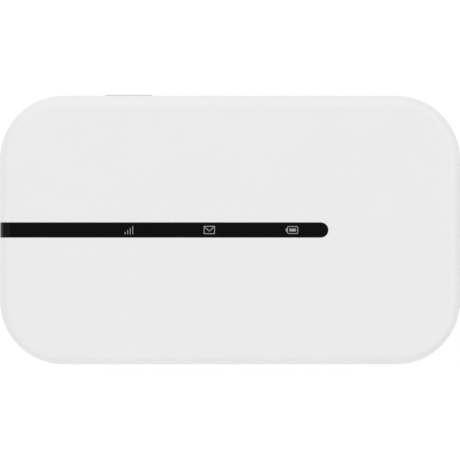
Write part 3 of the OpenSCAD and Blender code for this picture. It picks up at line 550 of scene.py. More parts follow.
SHARP_EDGE = math.radians(30)  # an edge that turns more than this is rounded
FOLDED_EDGE = math.radians(150)  # an edge that turns more than this is a face folded back on itself
CREASE = math.radians(50)  # an edge that turns more than this stays sharp in the shading
NODE_WELD = 0.03 * MM  # corners of a construction node closer than this are one corner
NODE_FLAT = math.radians(0.5)  # faces of a construction node that turn less than this are one face
PIECE_WELD = 1e-7  # corners of a finished piece closer than this, in metres, are one corner
SQUARE_ON = 0.99  # a face whose normal has more than this along an axis looks straight along it
ON_PLANE = 1e-9  # a point closer than this to the drawing plane, in metres, lies on it
SORT_DIGITS = 5  # solids whose left ends agree to this many digits of a metre stand in one column
PROBE = 0.2 * MM  # spacing of the points at which an edge is tested for folds
PAD_TOP = 0.92  # radius of a round pad's top, as a share of its foot's
CORNER_STEPS = 5  # faces round a corner of a drawn rectangle
ARC_STEPS = 28  # faces along a drawn arc
STROKE_RISE = 0.004  # how much higher a stroke is for each face that is there before it
STROKE_OVERRUN = 0.5  # how much longer a stroke is than its run, as a share of its width


class Facing(Enum):
    """Which way a print or mark looks, as the turn from facing up."""

    UP = Matrix.Identity(4)
    DOWN = Matrix.Rotation(math.pi, 4, "X")
    KEY_SIDE = Matrix(((-1, 0, 0, 0), (0, 0, 1, 0), (0, 1, 0, 0), (0, 0, 0, 1)))


def both_sides(*places: Point) -> tuple[Point, ...]:
    """Give each place together with the one across the centre line."""
    return tuple((x, side * y) for x, y in places for side in (1, -1))


def open_copy(node: str) -> Shape:
    """Copy a construction node, with its loose triangles merged and flat ones joined into whole faces.

    Args:
        node: The construction node.

    Returns:
        A closed mesh in metres.
    """
    shape = bmesh.new()
    shape.from_mesh(frame["nodes"][node].data)
    bmesh.ops.remove_doubles(shape, verts=shape.verts, dist=NODE_WELD)
    bmesh.ops.dissolve_limit(shape, angle_limit=NODE_FLAT, verts=shape.verts, edges=shape.edges)
    return shape


def loose_boxes(node: str) -> list[tuple[Vector, Vector]]:
    """Find the separate solids of a construction node.

    Args:
        node: The construction node.

    Returns:
        Lowest and highest corners of each solid, from left to right.
    """
    shape = open_copy(node)
    left = set(shape.verts)
    boxes = []
    while left:
        island, waiting = set(), [left.pop()]
        while waiting:
            vert = waiting.pop()
            island.add(vert)
            fresh = {edge.other_vert(vert) for edge in vert.link_edges} & left
            left -= fresh
            waiting.extend(fresh)
        spans = [[vert.co[axis] for vert in island] for axis in range(3)]
        boxes.append((Vector([min(s) for s in spans]), Vector([max(s) for s in spans])))
    shape.free()
    return sorted(boxes, key=lambda box: (round(box[0].x, SORT_DIGITS), box[0].y))


def runs_by_fold(edge: bmesh.types.BMEdge, folds: KDTree, radius: float) -> bool:
    """Say whether a fold lies along an edge.

    Args:
        edge: The edge before it was rounded.
        folds: Middles of the edges at which the rounded mesh folds back.
        radius: Size of the rounding.

    Returns:
        True where a fold is within reach of any point of the edge.
    """
    start, end = (vert.co for vert in edge.verts)
    parts = max(1, int((end - start).length / PROBE))
    return any(folds.find(start.lerp(end, k / parts))[2] < PROBE + radius for k in range(parts + 1))


def round_edges(shape: Shape, radius: float, segments: int) -> Shape:
    """Round every outward edge, except where a neighbour is too close for the radius.

    Args:
        shape: Closed mesh, which is used up.
        radius: Size of the rounding.
        segments: Faces across it.

    Returns:
        The rounded mesh.
    """
    shape.edges.index_update()
    outward = [
        e.index for e in shape.edges if len(e.link_faces) == 2 and e.is_convex and e.calc_face_angle(0) > SHARP_EDGE
    ]
    while True:
        trial = shape.copy()
        trial.edges.ensure_lookup_table()
        shape.edges.ensure_lookup_table()
        bmesh.ops.bevel(
            trial,
            geom=[trial.edges[i] for i in outward],
            affect="EDGES",
            offset=radius,
            segments=segments,
            profile=0.5,
            material=-1,
            clamp_overlap=False,
        )
        folds = [
            (e.verts[0].co + e.verts[1].co) / 2
            for e in trial.edges
            if len(e.link_faces) == 2 and e.calc_face_angle(0) > FOLDED_EDGE
        ]
        places = KDTree(len(folds))
        for number, point in enumerate(folds):
            places.insert(point, number)
        places.balance()
        fewer = [i for i in outward if folds and not runs_by_fold(shape.edges[i], places, radius)]
        if not folds or len(fewer) == len(outward):
            shape.free()
            return trial
        outward = fewer
        trial.free()


def add_box(shape: Shape, low: Vector, high: Vector) -> None:
    """Add a box.

    Args:
        shape: Mesh that receives it.
        low: Its lowest corner.
        high: Its highest corner.
    """
    place = Matrix.Translation((low + high) / 2) @ Matrix.Diagonal((*(high - low), 1))
    bmesh.ops.create_cube(shape, size=1, matrix=place)


def add_disc(shape: Shape, centre: Point, radius: float, thick: float, segments: int = 24) -> None:
    """Add a round pad that stands on the drawing plane and narrows a little towards its top.

    Args:
        shape: Mesh that receives it.
        centre: Its middle.
        radius: Radius of its foot.
        thick: How far it stands off the plane.
        segments: Faces round it.
    """
    bmesh.ops.create_cone(
        shape,
        cap_ends=True,
        segments=segments,
        radius1=radius,
        radius2=radius * PAD_TOP,
        depth=thick,
        matrix=Matrix.Translation((*centre, thick / 2)),
    )


def add_stroke(shape: Shape, start: Point, end: Point, line: float, thick: float) -> None:
    """Add one straight line of a drawing, a hair higher than what is there, so that crossing lines share no plane.

    Args:
        shape: Mesh that receives it, on the plane z = 0.
        start: Where the line starts.
        end: Where it ends.
        line: Its width.
        thick: How far it stands off the plane.
    """
    tall = thick * (1 + STROKE_RISE * len(shape.faces))
    a, b = Vector((*start, tall / 2)), Vector((*end, tall / 2))
    run = b - a
    turn = Matrix.Rotation(math.atan2(run.y, run.x), 4, "Z")
    size = Matrix.Diagonal((run.length + line * STROKE_OVERRUN, line, tall, 1))
    bmesh.ops.create_cube(shape, size=1, matrix=Matrix.Translation((a + b) / 2) @ turn @ size)


def add_ring(
    shape: Shape, centre: Point, size: Point, line: float, thick: float, corner: float = 0.0, cut: bool = False
) -> None:
    """Add a closed rectangular line.

    Args:
        shape: Mesh that receives it, on the plane z = 0.
        centre: Its middle.
        size: Length and width along the middle of the line.
        line: Width of the line.
        thick: How far it stands off the plane.
        corner: Radius of its corners, none if 0.
        cut: Cut only the corner at the upper right, straight across, and leave the others square.
    """
    place = Matrix.Translation((*centre, 0)) @ Matrix.Diagonal((size[0] + line, size[1] + line, 1, 1))
    plate = bmesh.ops.create_grid(shape, x_segments=1, y_segments=1, size=0.5, matrix=place)["verts"]
    face = plate[0].link_faces[0]
    if corner:
        ends = [max(plate, key=lambda v: v.co.x + v.co.y)] if cut else plate
        bmesh.ops.bevel(
            shape,
            geom=ends,
            affect="VERTICES",
            offset=corner,
            segments=1 if cut else CORNER_STEPS,
            profile=0.5,
            material=-1,
        )
        face = next(f for f in shape.faces if len(f.verts) > 4 and abs(f.calc_center_median().z) < ON_PLANE)
    rim = bmesh.ops.inset_region(shape, faces=[face], thickness=line, use_even_offset=True, use_boundary=True)["faces"]
    bmesh.ops.delete(shape, geom=[face], context="FACES")
    grown = bmesh.ops.extrude_face_region(shape, geom=rim)["geom"]
    bmesh.ops.translate(shape, verts=[v for v in grown if isinstance(v, bmesh.types.BMVert)], vec=(0, 0, thick))


def add_arc(shape: Shape, radius: float, gap_deg: float, line: float, thick: float) -> None:
    """Add a round line about the origin, open at the top.

    Args:
        shape: Mesh that receives it, on the plane z = 0.
        radius: Radius of the middle of the line.
        gap_deg: Width of the opening, in degrees.
        line: Width of the line.
        thick: How far it stands off the plane.
    """
    turn = Matrix.Rotation(math.radians(90 + gap_deg / 2), 4, "Z")
    upright = Matrix.Rotation(math.pi / 2, 4, "X") @ Matrix.Diagonal((line, thick, 1, 1))
    start = turn @ Matrix.Translation((radius, 0, thick / 2)) @ upright
    section = bmesh.ops.create_grid(shape, x_segments=1, y_segments=1, size=0.5, matrix=start)["verts"]
    face = section[0].link_faces[0]
    bmesh.ops.spin(
        shape,
        geom=[face, *face.edges, *face.verts],
        cent=(0, 0, 0),
        axis=(0, 0, 1),
        angle=math.radians(360 - gap_deg),
        steps=ARC_STEPS,
        use_merge=False,
    )


def finish_piece(
    shape: Shape, name: str, finish: Palette, node: str, at: Vector | None = None, facing: Facing = Facing.UP
) -> bpy.types.Object:
    """Turn a mesh into a piece that rides with a construction node.

    Args:
        shape: The modelled mesh, in metres, which is used up.
        name: Name of the piece.
        finish: Its finish.
        node: Node whose body it moves with.
        at: Where the drawing plane's origin goes.
        facing: Which way the drawing looks.

    Returns:
        The finished object.
    """
    place = Matrix.Translation(at or Vector()) @ facing.value
    bmesh.ops.transform(shape, matrix=place, verts=shape.verts)
    bmesh.ops.remove_doubles(shape, verts=shape.verts, dist=PIECE_WELD)
    bmesh.ops.recalc_face_normals(shape, faces=shape.faces)
    mesh = bpy.data.meshes.new(name)
    shape.to_mesh(mesh)
    shape.free()
    mesh.shade_smooth()
    mesh.set_sharp_from_angle(angle=CREASE)
    mesh.materials.append(finish.value.build())
    piece = bpy.data.objects.new(name, mesh)
    bpy.context.scene.collection.objects.link(piece)
    even = piece.modifiers.new("even_shading", "WEIGHTED_NORMAL")
    even.keep_sharp = True
    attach(piece, frame["nodes"][node]["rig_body"])
    return piece


# ---------------------------------------------------------------- sub-assemblies


@dataclass
class SubAssembly:
    """What every sub-assembly can do with its construction nodes.

    Attributes:
        pin_radius: Radius of the round mark that an ejector pin leaves.
        pin_high: How far such a mark stands out.
    """

    pin_radius: float = 1.5 * MM
    pin_high: float = 0.04 * MM

    def soften(self, node: str, finish: Palette, radius: float, segments: int = 2) -> None:
        """Show a node with rounded outward edges.

        Args:
            node: The construction node.
            finish: Its finish.
            radius: Size of the rounding.
            segments: Faces across it.
        """
        piece = finish_piece(round_edges(open_copy(node), radius, segments), f"{node}_softened", finish, node)
        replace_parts(piece, node)

    def dress(self, node: str, finish: Palette) -> None:
        """Show a node as it is, in its finish.

        Args:
            node: The construction node.
            finish: Its finish.
        """
        materials = frame["nodes"][node].data.materials
        materials.clear()
        materials.append(finish.value.build())
        LOG.info("dressed %s", node)

    def pin_marks(
        self, name: str, node: str, places: tuple[Point, ...], height: float, finish: Palette, facing: Facing
    ) -> None:
        """Add the round marks that ejector pins leave inside a moulding.

        Args:
            name: Name of the piece.
            node: The moulding.
            places: Middles of the marks, in millimetres, as seen from above.
            height: Height of the surface that they lie on.
            finish: The moulding's finish.
            facing: Which way that surface looks.
        """
        shape = bmesh.new()
        flip = -1 if facing is Facing.DOWN else 1
        for x, y in places:
            add_disc(shape, (x * MM, flip * y * MM), self.pin_radius, self.pin_high)
        finish_piece(shape, name, finish, node, Vector((0, 0, height)), facing)


@dataclass
class Housing(SubAssembly):
    """Front housing: white shell with the strip's groove, the key's opening and the socket's recess.

    Attributes:
        edge: Rounding of its outward edges.
        pins: Middles of the ejector marks under the face, in millimetres.
    """

    edge: float = 0.08 * MM
    pins: tuple[Point, ...] = both_sides((-38, 11), (-18.5, 12), (2, 12), (22, 12))

    def build(self) -> None:
        """Make the shell and its marks."""
        self.soften("front_housing", Palette.SHELL, radius=self.edge, segments=3)
        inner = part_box("light_shield")[1].z
        self.pin_marks("housing_pin_marks", "front_housing", self.pins, inner, Palette.SHELL, Facing.DOWN)


@dataclass
class IndicatorStrip(SubAssembly):
    """Smoked lens with its printed signs, and the lights under it.

    Attributes:
        line: Width of a printed line.
        thick: Thickness of the ink.
        signal_x: Middle of the signal sign along the body.
        message_x: Middle of the message sign.
        charge_x: Middle of the battery sign.
        bar_pitch: Spacing of the signal bars.
        bar_heights: Heights of the signal bars.
        bar_foot: Where the bars stand.
        envelope: Size of the message sign.
        flap: How far the envelope's flap reaches down, as a share of its height.
        cell: Size of the battery sign.
        cell_corner: Radius of its corners.
        charge: Size of the bar in it.
        nub: Size of its terminal.
    """

    line: float = 0.15 * MM
    thick: float = 0.012 * MM
    signal_x: float = -21.87 * MM
    message_x: float = -4.47 * MM
    charge_x: float = 13.55 * MM
    bar_pitch: float = 0.545 * MM
    bar_heights: tuple[float, ...] = (0.54 * MM, 0.96 * MM, 1.39 * MM, 1.83 * MM)
    bar_foot: float = -0.95 * MM
    envelope: Point = (2.25 * MM, 1.6 * MM)
    flap: float = 0.66
    cell: Point = (2.26 * MM, 1.52 * MM)
    cell_corner: float = 0.4 * MM
    charge: Point = (1.46 * MM, 0.6 * MM)
    nub: Point = (0.26 * MM, 0.62 * MM)

    def build(self) -> None:
        """Make the lens, its signs and the lights."""
        self.soften("indicator_lens", Palette.LENS, radius=0.12 * MM, segments=4)
        self.dress("lens_adhesive", Palette.TAPE)
        self.soften("light_shield", Palette.BLACK, radius=0.08 * MM)
        self.soften("light_guides", Palette.CLEAR, radius=0.05 * MM)
        self.soften("indicator_leds", Palette.LED, radius=0.04 * MM)
        at = Vector((0, 0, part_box("indicator_lens")[1].z))
        for name, draw in (("signal", self.signal), ("message", self.message), ("charge", self.charge_sign)):
            shape = bmesh.new()
            draw(shape)
            finish_piece(shape, f"{name}_pictogram", Palette.INK, "indicator_lens", at)

    def signal(self, shape: Shape) -> None:
        """Draw four bars of rising height.

        Args:
            shape: Mesh that receives them, on the plane z = 0.
        """
        first = self.signal_x - self.bar_pitch * (len(self.bar_heights) - 1) / 2
        for step, high in enumerate(self.bar_heights):
            x = first + step * self.bar_pitch
            low = Vector((x - self.line / 2, self.bar_foot, 0))
            add_box(shape, low, low + Vector((self.line, high, self.thick)))

    def message(self, shape: Shape) -> None:
        """Draw an envelope with its flap.

        Args:
            shape: Mesh that receives it, on the plane z = 0.
        """
        wide, high = self.envelope
        add_ring(shape, (self.message_x, 0), self.envelope, self.line, self.thick)
        point = (self.message_x, high / 2 - self.flap * high)
        for side in (-1, 1):
            add_stroke(shape, (self.message_x + side * wide / 2, high / 2), point, self.line, self.thick)

    def charge_sign(self, shape: Shape) -> None:
        """Draw a battery lying on its side, its terminal to the left.

        Args:
            shape: Mesh that receives it, on the plane z = 0.
        """
        wide = self.cell[0]
        add_ring(shape, (self.charge_x, 0), self.cell, self.line, self.thick, self.cell_corner)
        half = Vector((*self.charge, 0)) / 2
        middle = Vector((self.charge_x, 0, 0))
        add_box(shape, middle - half, middle + half + Vector((0, 0, self.thick)))
        low = Vector((self.charge_x - wide / 2 - self.line / 2 - self.nub[0], -self.nub[1] / 2, 0))
        add_box(shape, low, low + Vector((*self.nub, self.thick)))


@dataclass
class PowerKey(SubAssembly):
    """Power key, dished for the fingertip, with the switch behind it.

    Attributes:
        edge: Rounding of its rim.
        rim: Width of the flat rim round the dish.
        slope: Width of each of the dish's two slopes.
        dish: Depth of the dish.
        dish_shares: What share of that depth each slope takes, from the rim in.
        sign_radius: Radius of the on-off sign.
        sign_line: Width of its line.
        sign_gap_deg: Opening of its round line, in degrees.
        sign_foot: How far above the middle its upright line starts.
        sign_reach: How far that line reaches, as a share of the radius.
        ink: Thickness of the ink.
    """

    edge: float = 0.12 * MM
    rim: float = 0.2 * MM
    slope: float = 0.3 * MM
    dish: float = 0.1 * MM
    dish_shares: Point = (0.7, 0.3)
    sign_radius: float = 0.6 * MM
    sign_line: float = 0.15 * MM
    sign_gap_deg: float = 70.0
    sign_foot: float = 0.1 * MM
    sign_reach: float = 1.15
    ink: float = 0.02 * MM

    def build(self) -> None:
        """Make the key, its sign and the switch."""
        shape = round_edges(open_copy("power_key"), self.edge, 4)
        outer = max((f for f in shape.faces if f.normal.y > SQUARE_ON), key=lambda f: f.calc_center_median().y)
        bmesh.ops.inset_region(shape, faces=[outer], thickness=self.rim, use_even_offset=True)
        for share in self.dish_shares:
            bmesh.ops.inset_region(shape, faces=[outer], thickness=self.slope, use_even_offset=True)
            bmesh.ops.translate(shape, verts=outer.verts, vec=(0, -self.dish * share, 0))
        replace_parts(finish_piece(shape, "power_key_dished", Palette.KEY, "power_key"), "power_key")
        self.sign()
        self.soften("power_switch", Palette.STEEL, radius=0.08 * MM)
        self.soften("switch_plunger", Palette.NATURAL, radius=0.12 * MM)

    def sign(self) -> None:
        """Print the on-off sign in the dish."""
        low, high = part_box("power_key")
        shape = bmesh.new()
        add_arc(shape, self.sign_radius, self.sign_gap_deg, self.sign_line, self.ink)
        top = (0, self.sign_radius * self.sign_reach)
        add_stroke(shape, (0, self.sign_foot), top, self.sign_line, self.ink)
        at = Vector(((low.x + high.x) / 2, high.y - self.dish, (low.z + high.z) / 2))
        finish_piece(shape, "on_off_sign", Palette.SIGN, "power_key", at, Facing.KEY_SIDE)


@dataclass
class ChargingSocket(SubAssembly):
    """Drawn socket shell, its tongue and contacts.

    Attributes:
        edge: Rounding of the shell and the tongue.
    """

    edge: float = 0.06 * MM

    def build(self) -> None:
        """Make the three pieces."""
        self.soften("usb_shell", Palette.STEEL, radius=self.edge, segments=3)
        self.soften("usb_tongue", Palette.BLACK, radius=self.edge)
        self.soften("usb_contacts", Palette.GOLD, radius=0.03 * MM)


@dataclass
class Chassis(SubAssembly):
    """Chassis with its moulded signs, screws and reset button.

    Attributes:
        raised: Height of a moulded sign.
        card_at: Middle of the card sign.
        card: Size of the card sign.
        card_cut: Size of the card's cut corner.
        card_line: Width of the card sign's line.
        chip_x: Middle of the card's contacts, from the card's.
        chip: Size of the contacts.
        chip_split: Half the length of the line across them.
        arrow: Where the arrow beside the card starts and ends, from the card's middle.
        barb: How far each side of its head reaches sideways.
        barb_y: Where the two sides of its head start.
        tip_y: Where they meet.
        pole_x: Where the battery's two polarity signs stand along the body.
        pole_y: Their distance from the centre line.
        pole_arm: Half the length of their lines.
        pole_line: Width of their lines.
        pins: Middles of the ejector marks, in millimetres.
        shank: Radius of a housing screw's shank.
        thread_foot: Where its thread starts, above the head's face.
        thread_tip: How much of its end is free of thread.
        thread_pitch: From one turn to the next.
        thread_out: How far the thread stands out of the shank.
        thread_steps: Faces along one turn.
    """

    raised: float = 0.06 * MM
    card_at: Point = (-38.3 * MM, 14.2 * MM)
    card: Point = (4.4 * MM, 3.0 * MM)
    card_cut: float = 0.9 * MM
    card_line: float = 0.22 * MM
    chip_x: float = -0.9 * MM
    chip: Point = (1.3 * MM, 1.4 * MM)
    chip_split: float = 0.6 * MM
    arrow: Point = (2.4 * MM, 4.2 * MM)
    barb: float = 0.7 * MM
    barb_y: float = 3.5 * MM
    tip_y: float = 4.3 * MM
    pole_x: float = -23.4 * MM
    pole_y: float = 8.6 * MM
    pole_arm: float = 0.75 * MM
    pole_line: float = 0.3 * MM
    pins: tuple[Point, ...] = ((-24, 18), (-24, -15), (-41, 19), (-10, 24.6), (20, 24.6), (-10, -24.6), (20, -24.6))
    shank: float = 0.8 * MM
    thread_foot: float = 2.2 * MM
    thread_tip: float = 0.5 * MM
    thread_pitch: float = 0.7 * MM
    thread_out: float = 0.14 * MM
    thread_steps: int = 16

    def build(self) -> None:
        """Make the chassis, its signs, the screws and the reset button."""
        self.soften("mid_frame", Palette.CHASSIS, radius=0.08 * MM)
        self.soften("frame_screws", Palette.SCREW, radius=0.14 * MM, segments=3)
        self.soften("reset_cap", Palette.KEY, radius=0.2 * MM, segments=3)
        self.soften("reset_switch", Palette.STEEL, radius=0.06 * MM)
        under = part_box("mid_frame")[0].z
        self.pin_marks("chassis_pin_marks", "mid_frame", self.pins, under, Palette.CHASSIS, Facing.DOWN)
        self.card_sign(under)
        self.pole_signs(under)
        self.threads()

    def card_sign(self, under: float) -> None:
        """Mould the outline of a card with its contacts and an arrow that shows which way it goes in.

        Args:
            under: Height of the chassis' lower face.
        """
        shape = bmesh.new()
        line, chip = self.card_line, self.chip_x
        add_ring(shape, (0, 0), self.card, line, self.raised, self.card_cut, cut=True)
        add_ring(shape, (chip, 0), self.chip, line, self.raised)
        add_stroke(shape, (chip - self.chip_split, 0), (chip + self.chip_split, 0), line, self.raised)
        add_stroke(shape, (0, self.arrow[0]), (0, self.arrow[1]), line, self.raised)
        for side in (-1, 1):
            add_stroke(shape, (side * self.barb, self.barb_y), (0, self.tip_y), line, self.raised)
        at = Vector((*self.card_at, under))
        finish_piece(shape, "card_sign", Palette.CHASSIS, "mid_frame", at, Facing.DOWN)

    def pole_signs(self, under: float) -> None:
        """Mould a plus and a minus beside the battery's contacts.

        Args:
            under: Height of the chassis' lower face.
        """
        shape = bmesh.new()
        arm, line, y = self.pole_arm, self.pole_line, self.pole_y
        for side in (-1, 1):
            add_stroke(shape, (-arm, side * y), (arm, side * y), line, self.raised)
        add_stroke(shape, (0, y - arm), (0, y + arm), line, self.raised)
        at = Vector((self.pole_x, 0, under))
        finish_piece(shape, "pole_signs", Palette.CHASSIS, "mid_frame", at, Facing.DOWN)

    def threads(self) -> None:
        """Cut a thread-forming ridge round each screw's shank."""
        shape = bmesh.new()
        outwards = Matrix.Rotation(math.pi / 2, 4, "X") @ Matrix.Rotation(-math.pi / 2, 4, "Z")
        for low, high in loose_boxes("frame_screws"):
            middle = (low + high) / 2
            start = low.z + self.thread_foot
            turns = int((high.z - self.thread_tip - start) / self.thread_pitch)
            section = bmesh.ops.create_circle(
                shape,
                cap_ends=True,
                segments=3,
                radius=self.thread_out,
                matrix=Matrix.Translation((middle.x + self.shank, middle.y, start)) @ outwards,
            )["verts"]
            face = section[0].link_faces[0]
            bmesh.ops.spin(
                shape,
                geom=[face, *face.edges, *face.verts],
                cent=(middle.x, middle.y, 0),
                axis=(0, 0, 1),
                dvec=(0, 0, self.thread_pitch / self.thread_steps),
                angle=math.tau * turns,
                steps=self.thread_steps * turns,
                use_merge=False,
            )
        finish_piece(shape, "screw_threads", Palette.SCREW, "frame_screws")


@dataclass
class CardReader(SubAssembly):
    """Card cage, its base and its six contacts.

    Attributes:
        edge: Rounding of the cage and the base.
    """

    edge: float = 0.05 * MM

    def build(self) -> None:
        """Make the three pieces."""
        self.soften("sim_reader_shell", Palette.STEEL, radius=self.edge)
        self.soften("sim_reader_base", Palette.BLACK, radius=self.edge)
        self.soften("sim_contacts", Palette.GOLD, radius=0.04 * MM)


@dataclass
class Battery(SubAssembly):
    """Battery in its shrunk film, with end cap, contacts and the foam it lies on.

    Attributes:
        film: Thickness of a lap of film.
        lap: Width of the lap along the top.
        lap_from: Its distance from the long edge.
        lap_ends: How far it stops short of the left and the right end.
        fold_inset: How far the fold over the plain end stops short of the corners.
        ink: Thickness of the ink.
        frame_line: Width of the printed frame's line.
        frame_inset: How much shorter and narrower than the battery the frame is.
        frame_shift: How far its middle lies towards the plain end.
        frame_corner: Radius of its corners.
        sign_x: Middle of the signs, from the end with the contacts.
        sign_line: Width of their lines.
        sign_arm: Half the length of the lines of a plus or a minus.
        pole_y: Distance of the plus and the minus from the centre line.
        arrow_tail: How far the arrow reaches back from their middle.
    """

    film: float = 0.03 * MM
    lap: float = 5.0 * MM
    lap_from: float = 6.0 * MM
    lap_ends: Point = (0.2 * MM, 0.5 * MM)
    fold_inset: float = 1.5 * MM
    ink: float = 0.01 * MM
    frame_line: float = 0.25 * MM
    frame_inset: Point = (12 * MM, 8 * MM)
    frame_shift: float = 1.5 * MM
    frame_corner: float = 2 * MM
    sign_x: float = 2.3 * MM
    sign_line: float = 0.3 * MM
    sign_arm: float = 0.8 * MM
    pole_y: float = 3.6 * MM
    arrow_tail: float = 1.2 * MM

    def build(self) -> None:
        """Make the battery, the contacts that meet it and the pad."""
        self.soften("battery_cell", Palette.WRAP, radius=0.35 * MM, segments=3)
        self.soften("battery_end_cap", Palette.BLACK, radius=0.2 * MM, segments=3)
        self.soften("battery_contacts", Palette.GOLD, radius=0.02 * MM)
        self.soften("battery_connector", Palette.BLACK, radius=0.1 * MM)
        self.soften("battery_blades", Palette.GOLD, radius=0.03 * MM)
        self.soften("battery_pad", Palette.FOAM, radius=0.1 * MM)
        low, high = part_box("battery_cell")
        self.laps(low, high)
        self.print_face(low, high)

    def laps(self, low: Vector, high: Vector) -> None:
        """Lay the film's overlap along the top and fold it over the plain end.

        Args:
            low: Lowest corner of the cell.
            high: Highest corner of the cell.
        """
        shape = bmesh.new()
        y = low.y + self.lap_from
        along = Vector((low.x + self.lap_ends[0], y, high.z))
        add_box(shape, along, Vector((high.x - self.lap_ends[1], y + self.lap, high.z + self.film)))
        edge = self.fold_inset
        fold = Vector((high.x, low.y + edge, low.z + edge / 2))
        add_box(shape, fold, Vector((high.x + self.film, high.y - edge, high.z - edge / 2)))
        finish_piece(shape, "film_laps", Palette.WRAP, "battery_cell")

    def print_face(self, low: Vector, high: Vector) -> None:
        """Print a plain frame, the two poles and an arrow towards the contacts on the side that shows.

        Args:
            low: Lowest corner of the cell.
            high: Highest corner of the cell.
        """
        shape = bmesh.new()
        frame_size = (high.x - low.x - self.frame_inset[0], high.y - low.y - self.frame_inset[1])
        add_ring(shape, (self.frame_shift, 0), frame_size, self.frame_line, self.ink, self.frame_corner)
        x = -(high.x - low.x) / 2 + self.sign_x
        y, arm, line = self.pole_y, self.sign_arm, self.sign_line
        for side in (-1, 1):
            add_stroke(shape, (x - arm, side * y), (x + arm, side * y), line, self.ink)
            add_stroke(shape, (x - arm, 0), (x, side * arm), line, self.ink)
        add_stroke(shape, (x, y - arm), (x, y + arm), line, self.ink)
        add_stroke(shape, (x - arm, 0), (x + self.arrow_tail, 0), line, self.ink)
        at = Vector(((low.x + high.x) / 2, 0, low.z))
        finish_piece(shape, "battery_print", Palette.PALE, "battery_cell", at, Facing.DOWN)


@dataclass
class BackCover(SubAssembly):
    """Back cover with its hooks, ribs and ejector marks.

    Attributes:
        edge: Rounding of its outward edges.
        pins: Middles of the ejector marks inside it, in millimetres.
    """

    edge: float = 0.1 * MM
    pins: tuple[Point, ...] = both_sides((-44, 9), (-27, 23), (6, 22.5), (42.5, 19))

    def build(self) -> None:
        """Make the cover and its marks."""
        self.soften("back_cover", Palette.SHELL, radius=self.edge, segments=3)
        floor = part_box("battery_pad")[0].z
        self.pin_marks("cover_pin_marks", "back_cover", self.pins, floor, Palette.SHELL, Facing.UP)


class Part(Enum):
    """Kinds of small soldered part, with the finish of its body."""

    CAPACITOR = Palette.CERAMIC
    RESISTOR = Palette.GLAZE


@dataclass(frozen=True)
class Row:
    """A row of small soldered parts on the board's upper side.

    Attributes:
        part: Kind of part.
        start: Middle of the first one, in millimetres.
        count: How many there are.
        step: From one to the next, in millimetres.
        across: Turn each part across the body.
    """

    part: Part
    start: Point
    count: int
    step: Point
    across: bool = False

    def places(self) -> list[Point]:
        """Middles of its parts, in metres."""
        return [tuple(self.start[k] * MM + number * self.step[k] * MM for k in (0, 1)) for number in range(self.count)]


ROWS = (
    Row(Part.CAPACITOR, (-10.4, 6.2), 7, (1.6, 0)),
    Row(Part.CAPACITOR, (-10.4, 20.2), 7, (1.6, 0)),
    Row(Part.RESISTOR, (-12.7, 8.4), 6, (0, 1.9), True),
    Row(Part.CAPACITOR, (1.9, 8.4), 6, (0, 1.9), True),
    Row(Part.RESISTOR, (15.8, 7.6), 6, (0, 2.1), True),
    Row(Part.CAPACITOR, (-9.0, -7.3), 5, (1.7, 0)),
    Row(Part.CAPACITOR, (-9.0, -19.2), 5, (1.7, 0)),
    Row(Part.RESISTOR, (1.2, -8.0), 6, (2.6, 0)),
    Row(Part.CAPACITOR, (1.2, -12.6), 6, (2.6, 0)),
    Row(Part.RESISTOR, (1.2, -17.4), 6, (2.6, 0)),
    Row(Part.CAPACITOR, (25.6, 12.8), 5, (1.7, 0)),
    Row(Part.RESISTOR, (25.6, 1.5), 5, (1.7, 0)),
    Row(Part.CAPACITOR, (23.4, -6.6), 7, (1.9, 0)),
    Row(Part.CAPACITOR, (23.4, -15.6), 7, (1.9, 0)),
    Row(Part.RESISTOR, (-37.6, -19.4), 6, (1.8, 0)),
    Row(Part.CAPACITOR, (-37.6, -7.4), 4, (1.8, 0)),
    Row(Part.CAPACITOR, (-27.3, -17.0), 4, (0, 2.4), True),
    Row(Part.CAPACITOR, (-42.8, 8.0), 4, (0, 1.9), True),
    Row(Part.RESISTOR, (-38.0, 19.4), 7, (1.9, 0)),
    Row(Part.RESISTOR, (-30.0, 6.4), 3, (1.9, 0)),
)


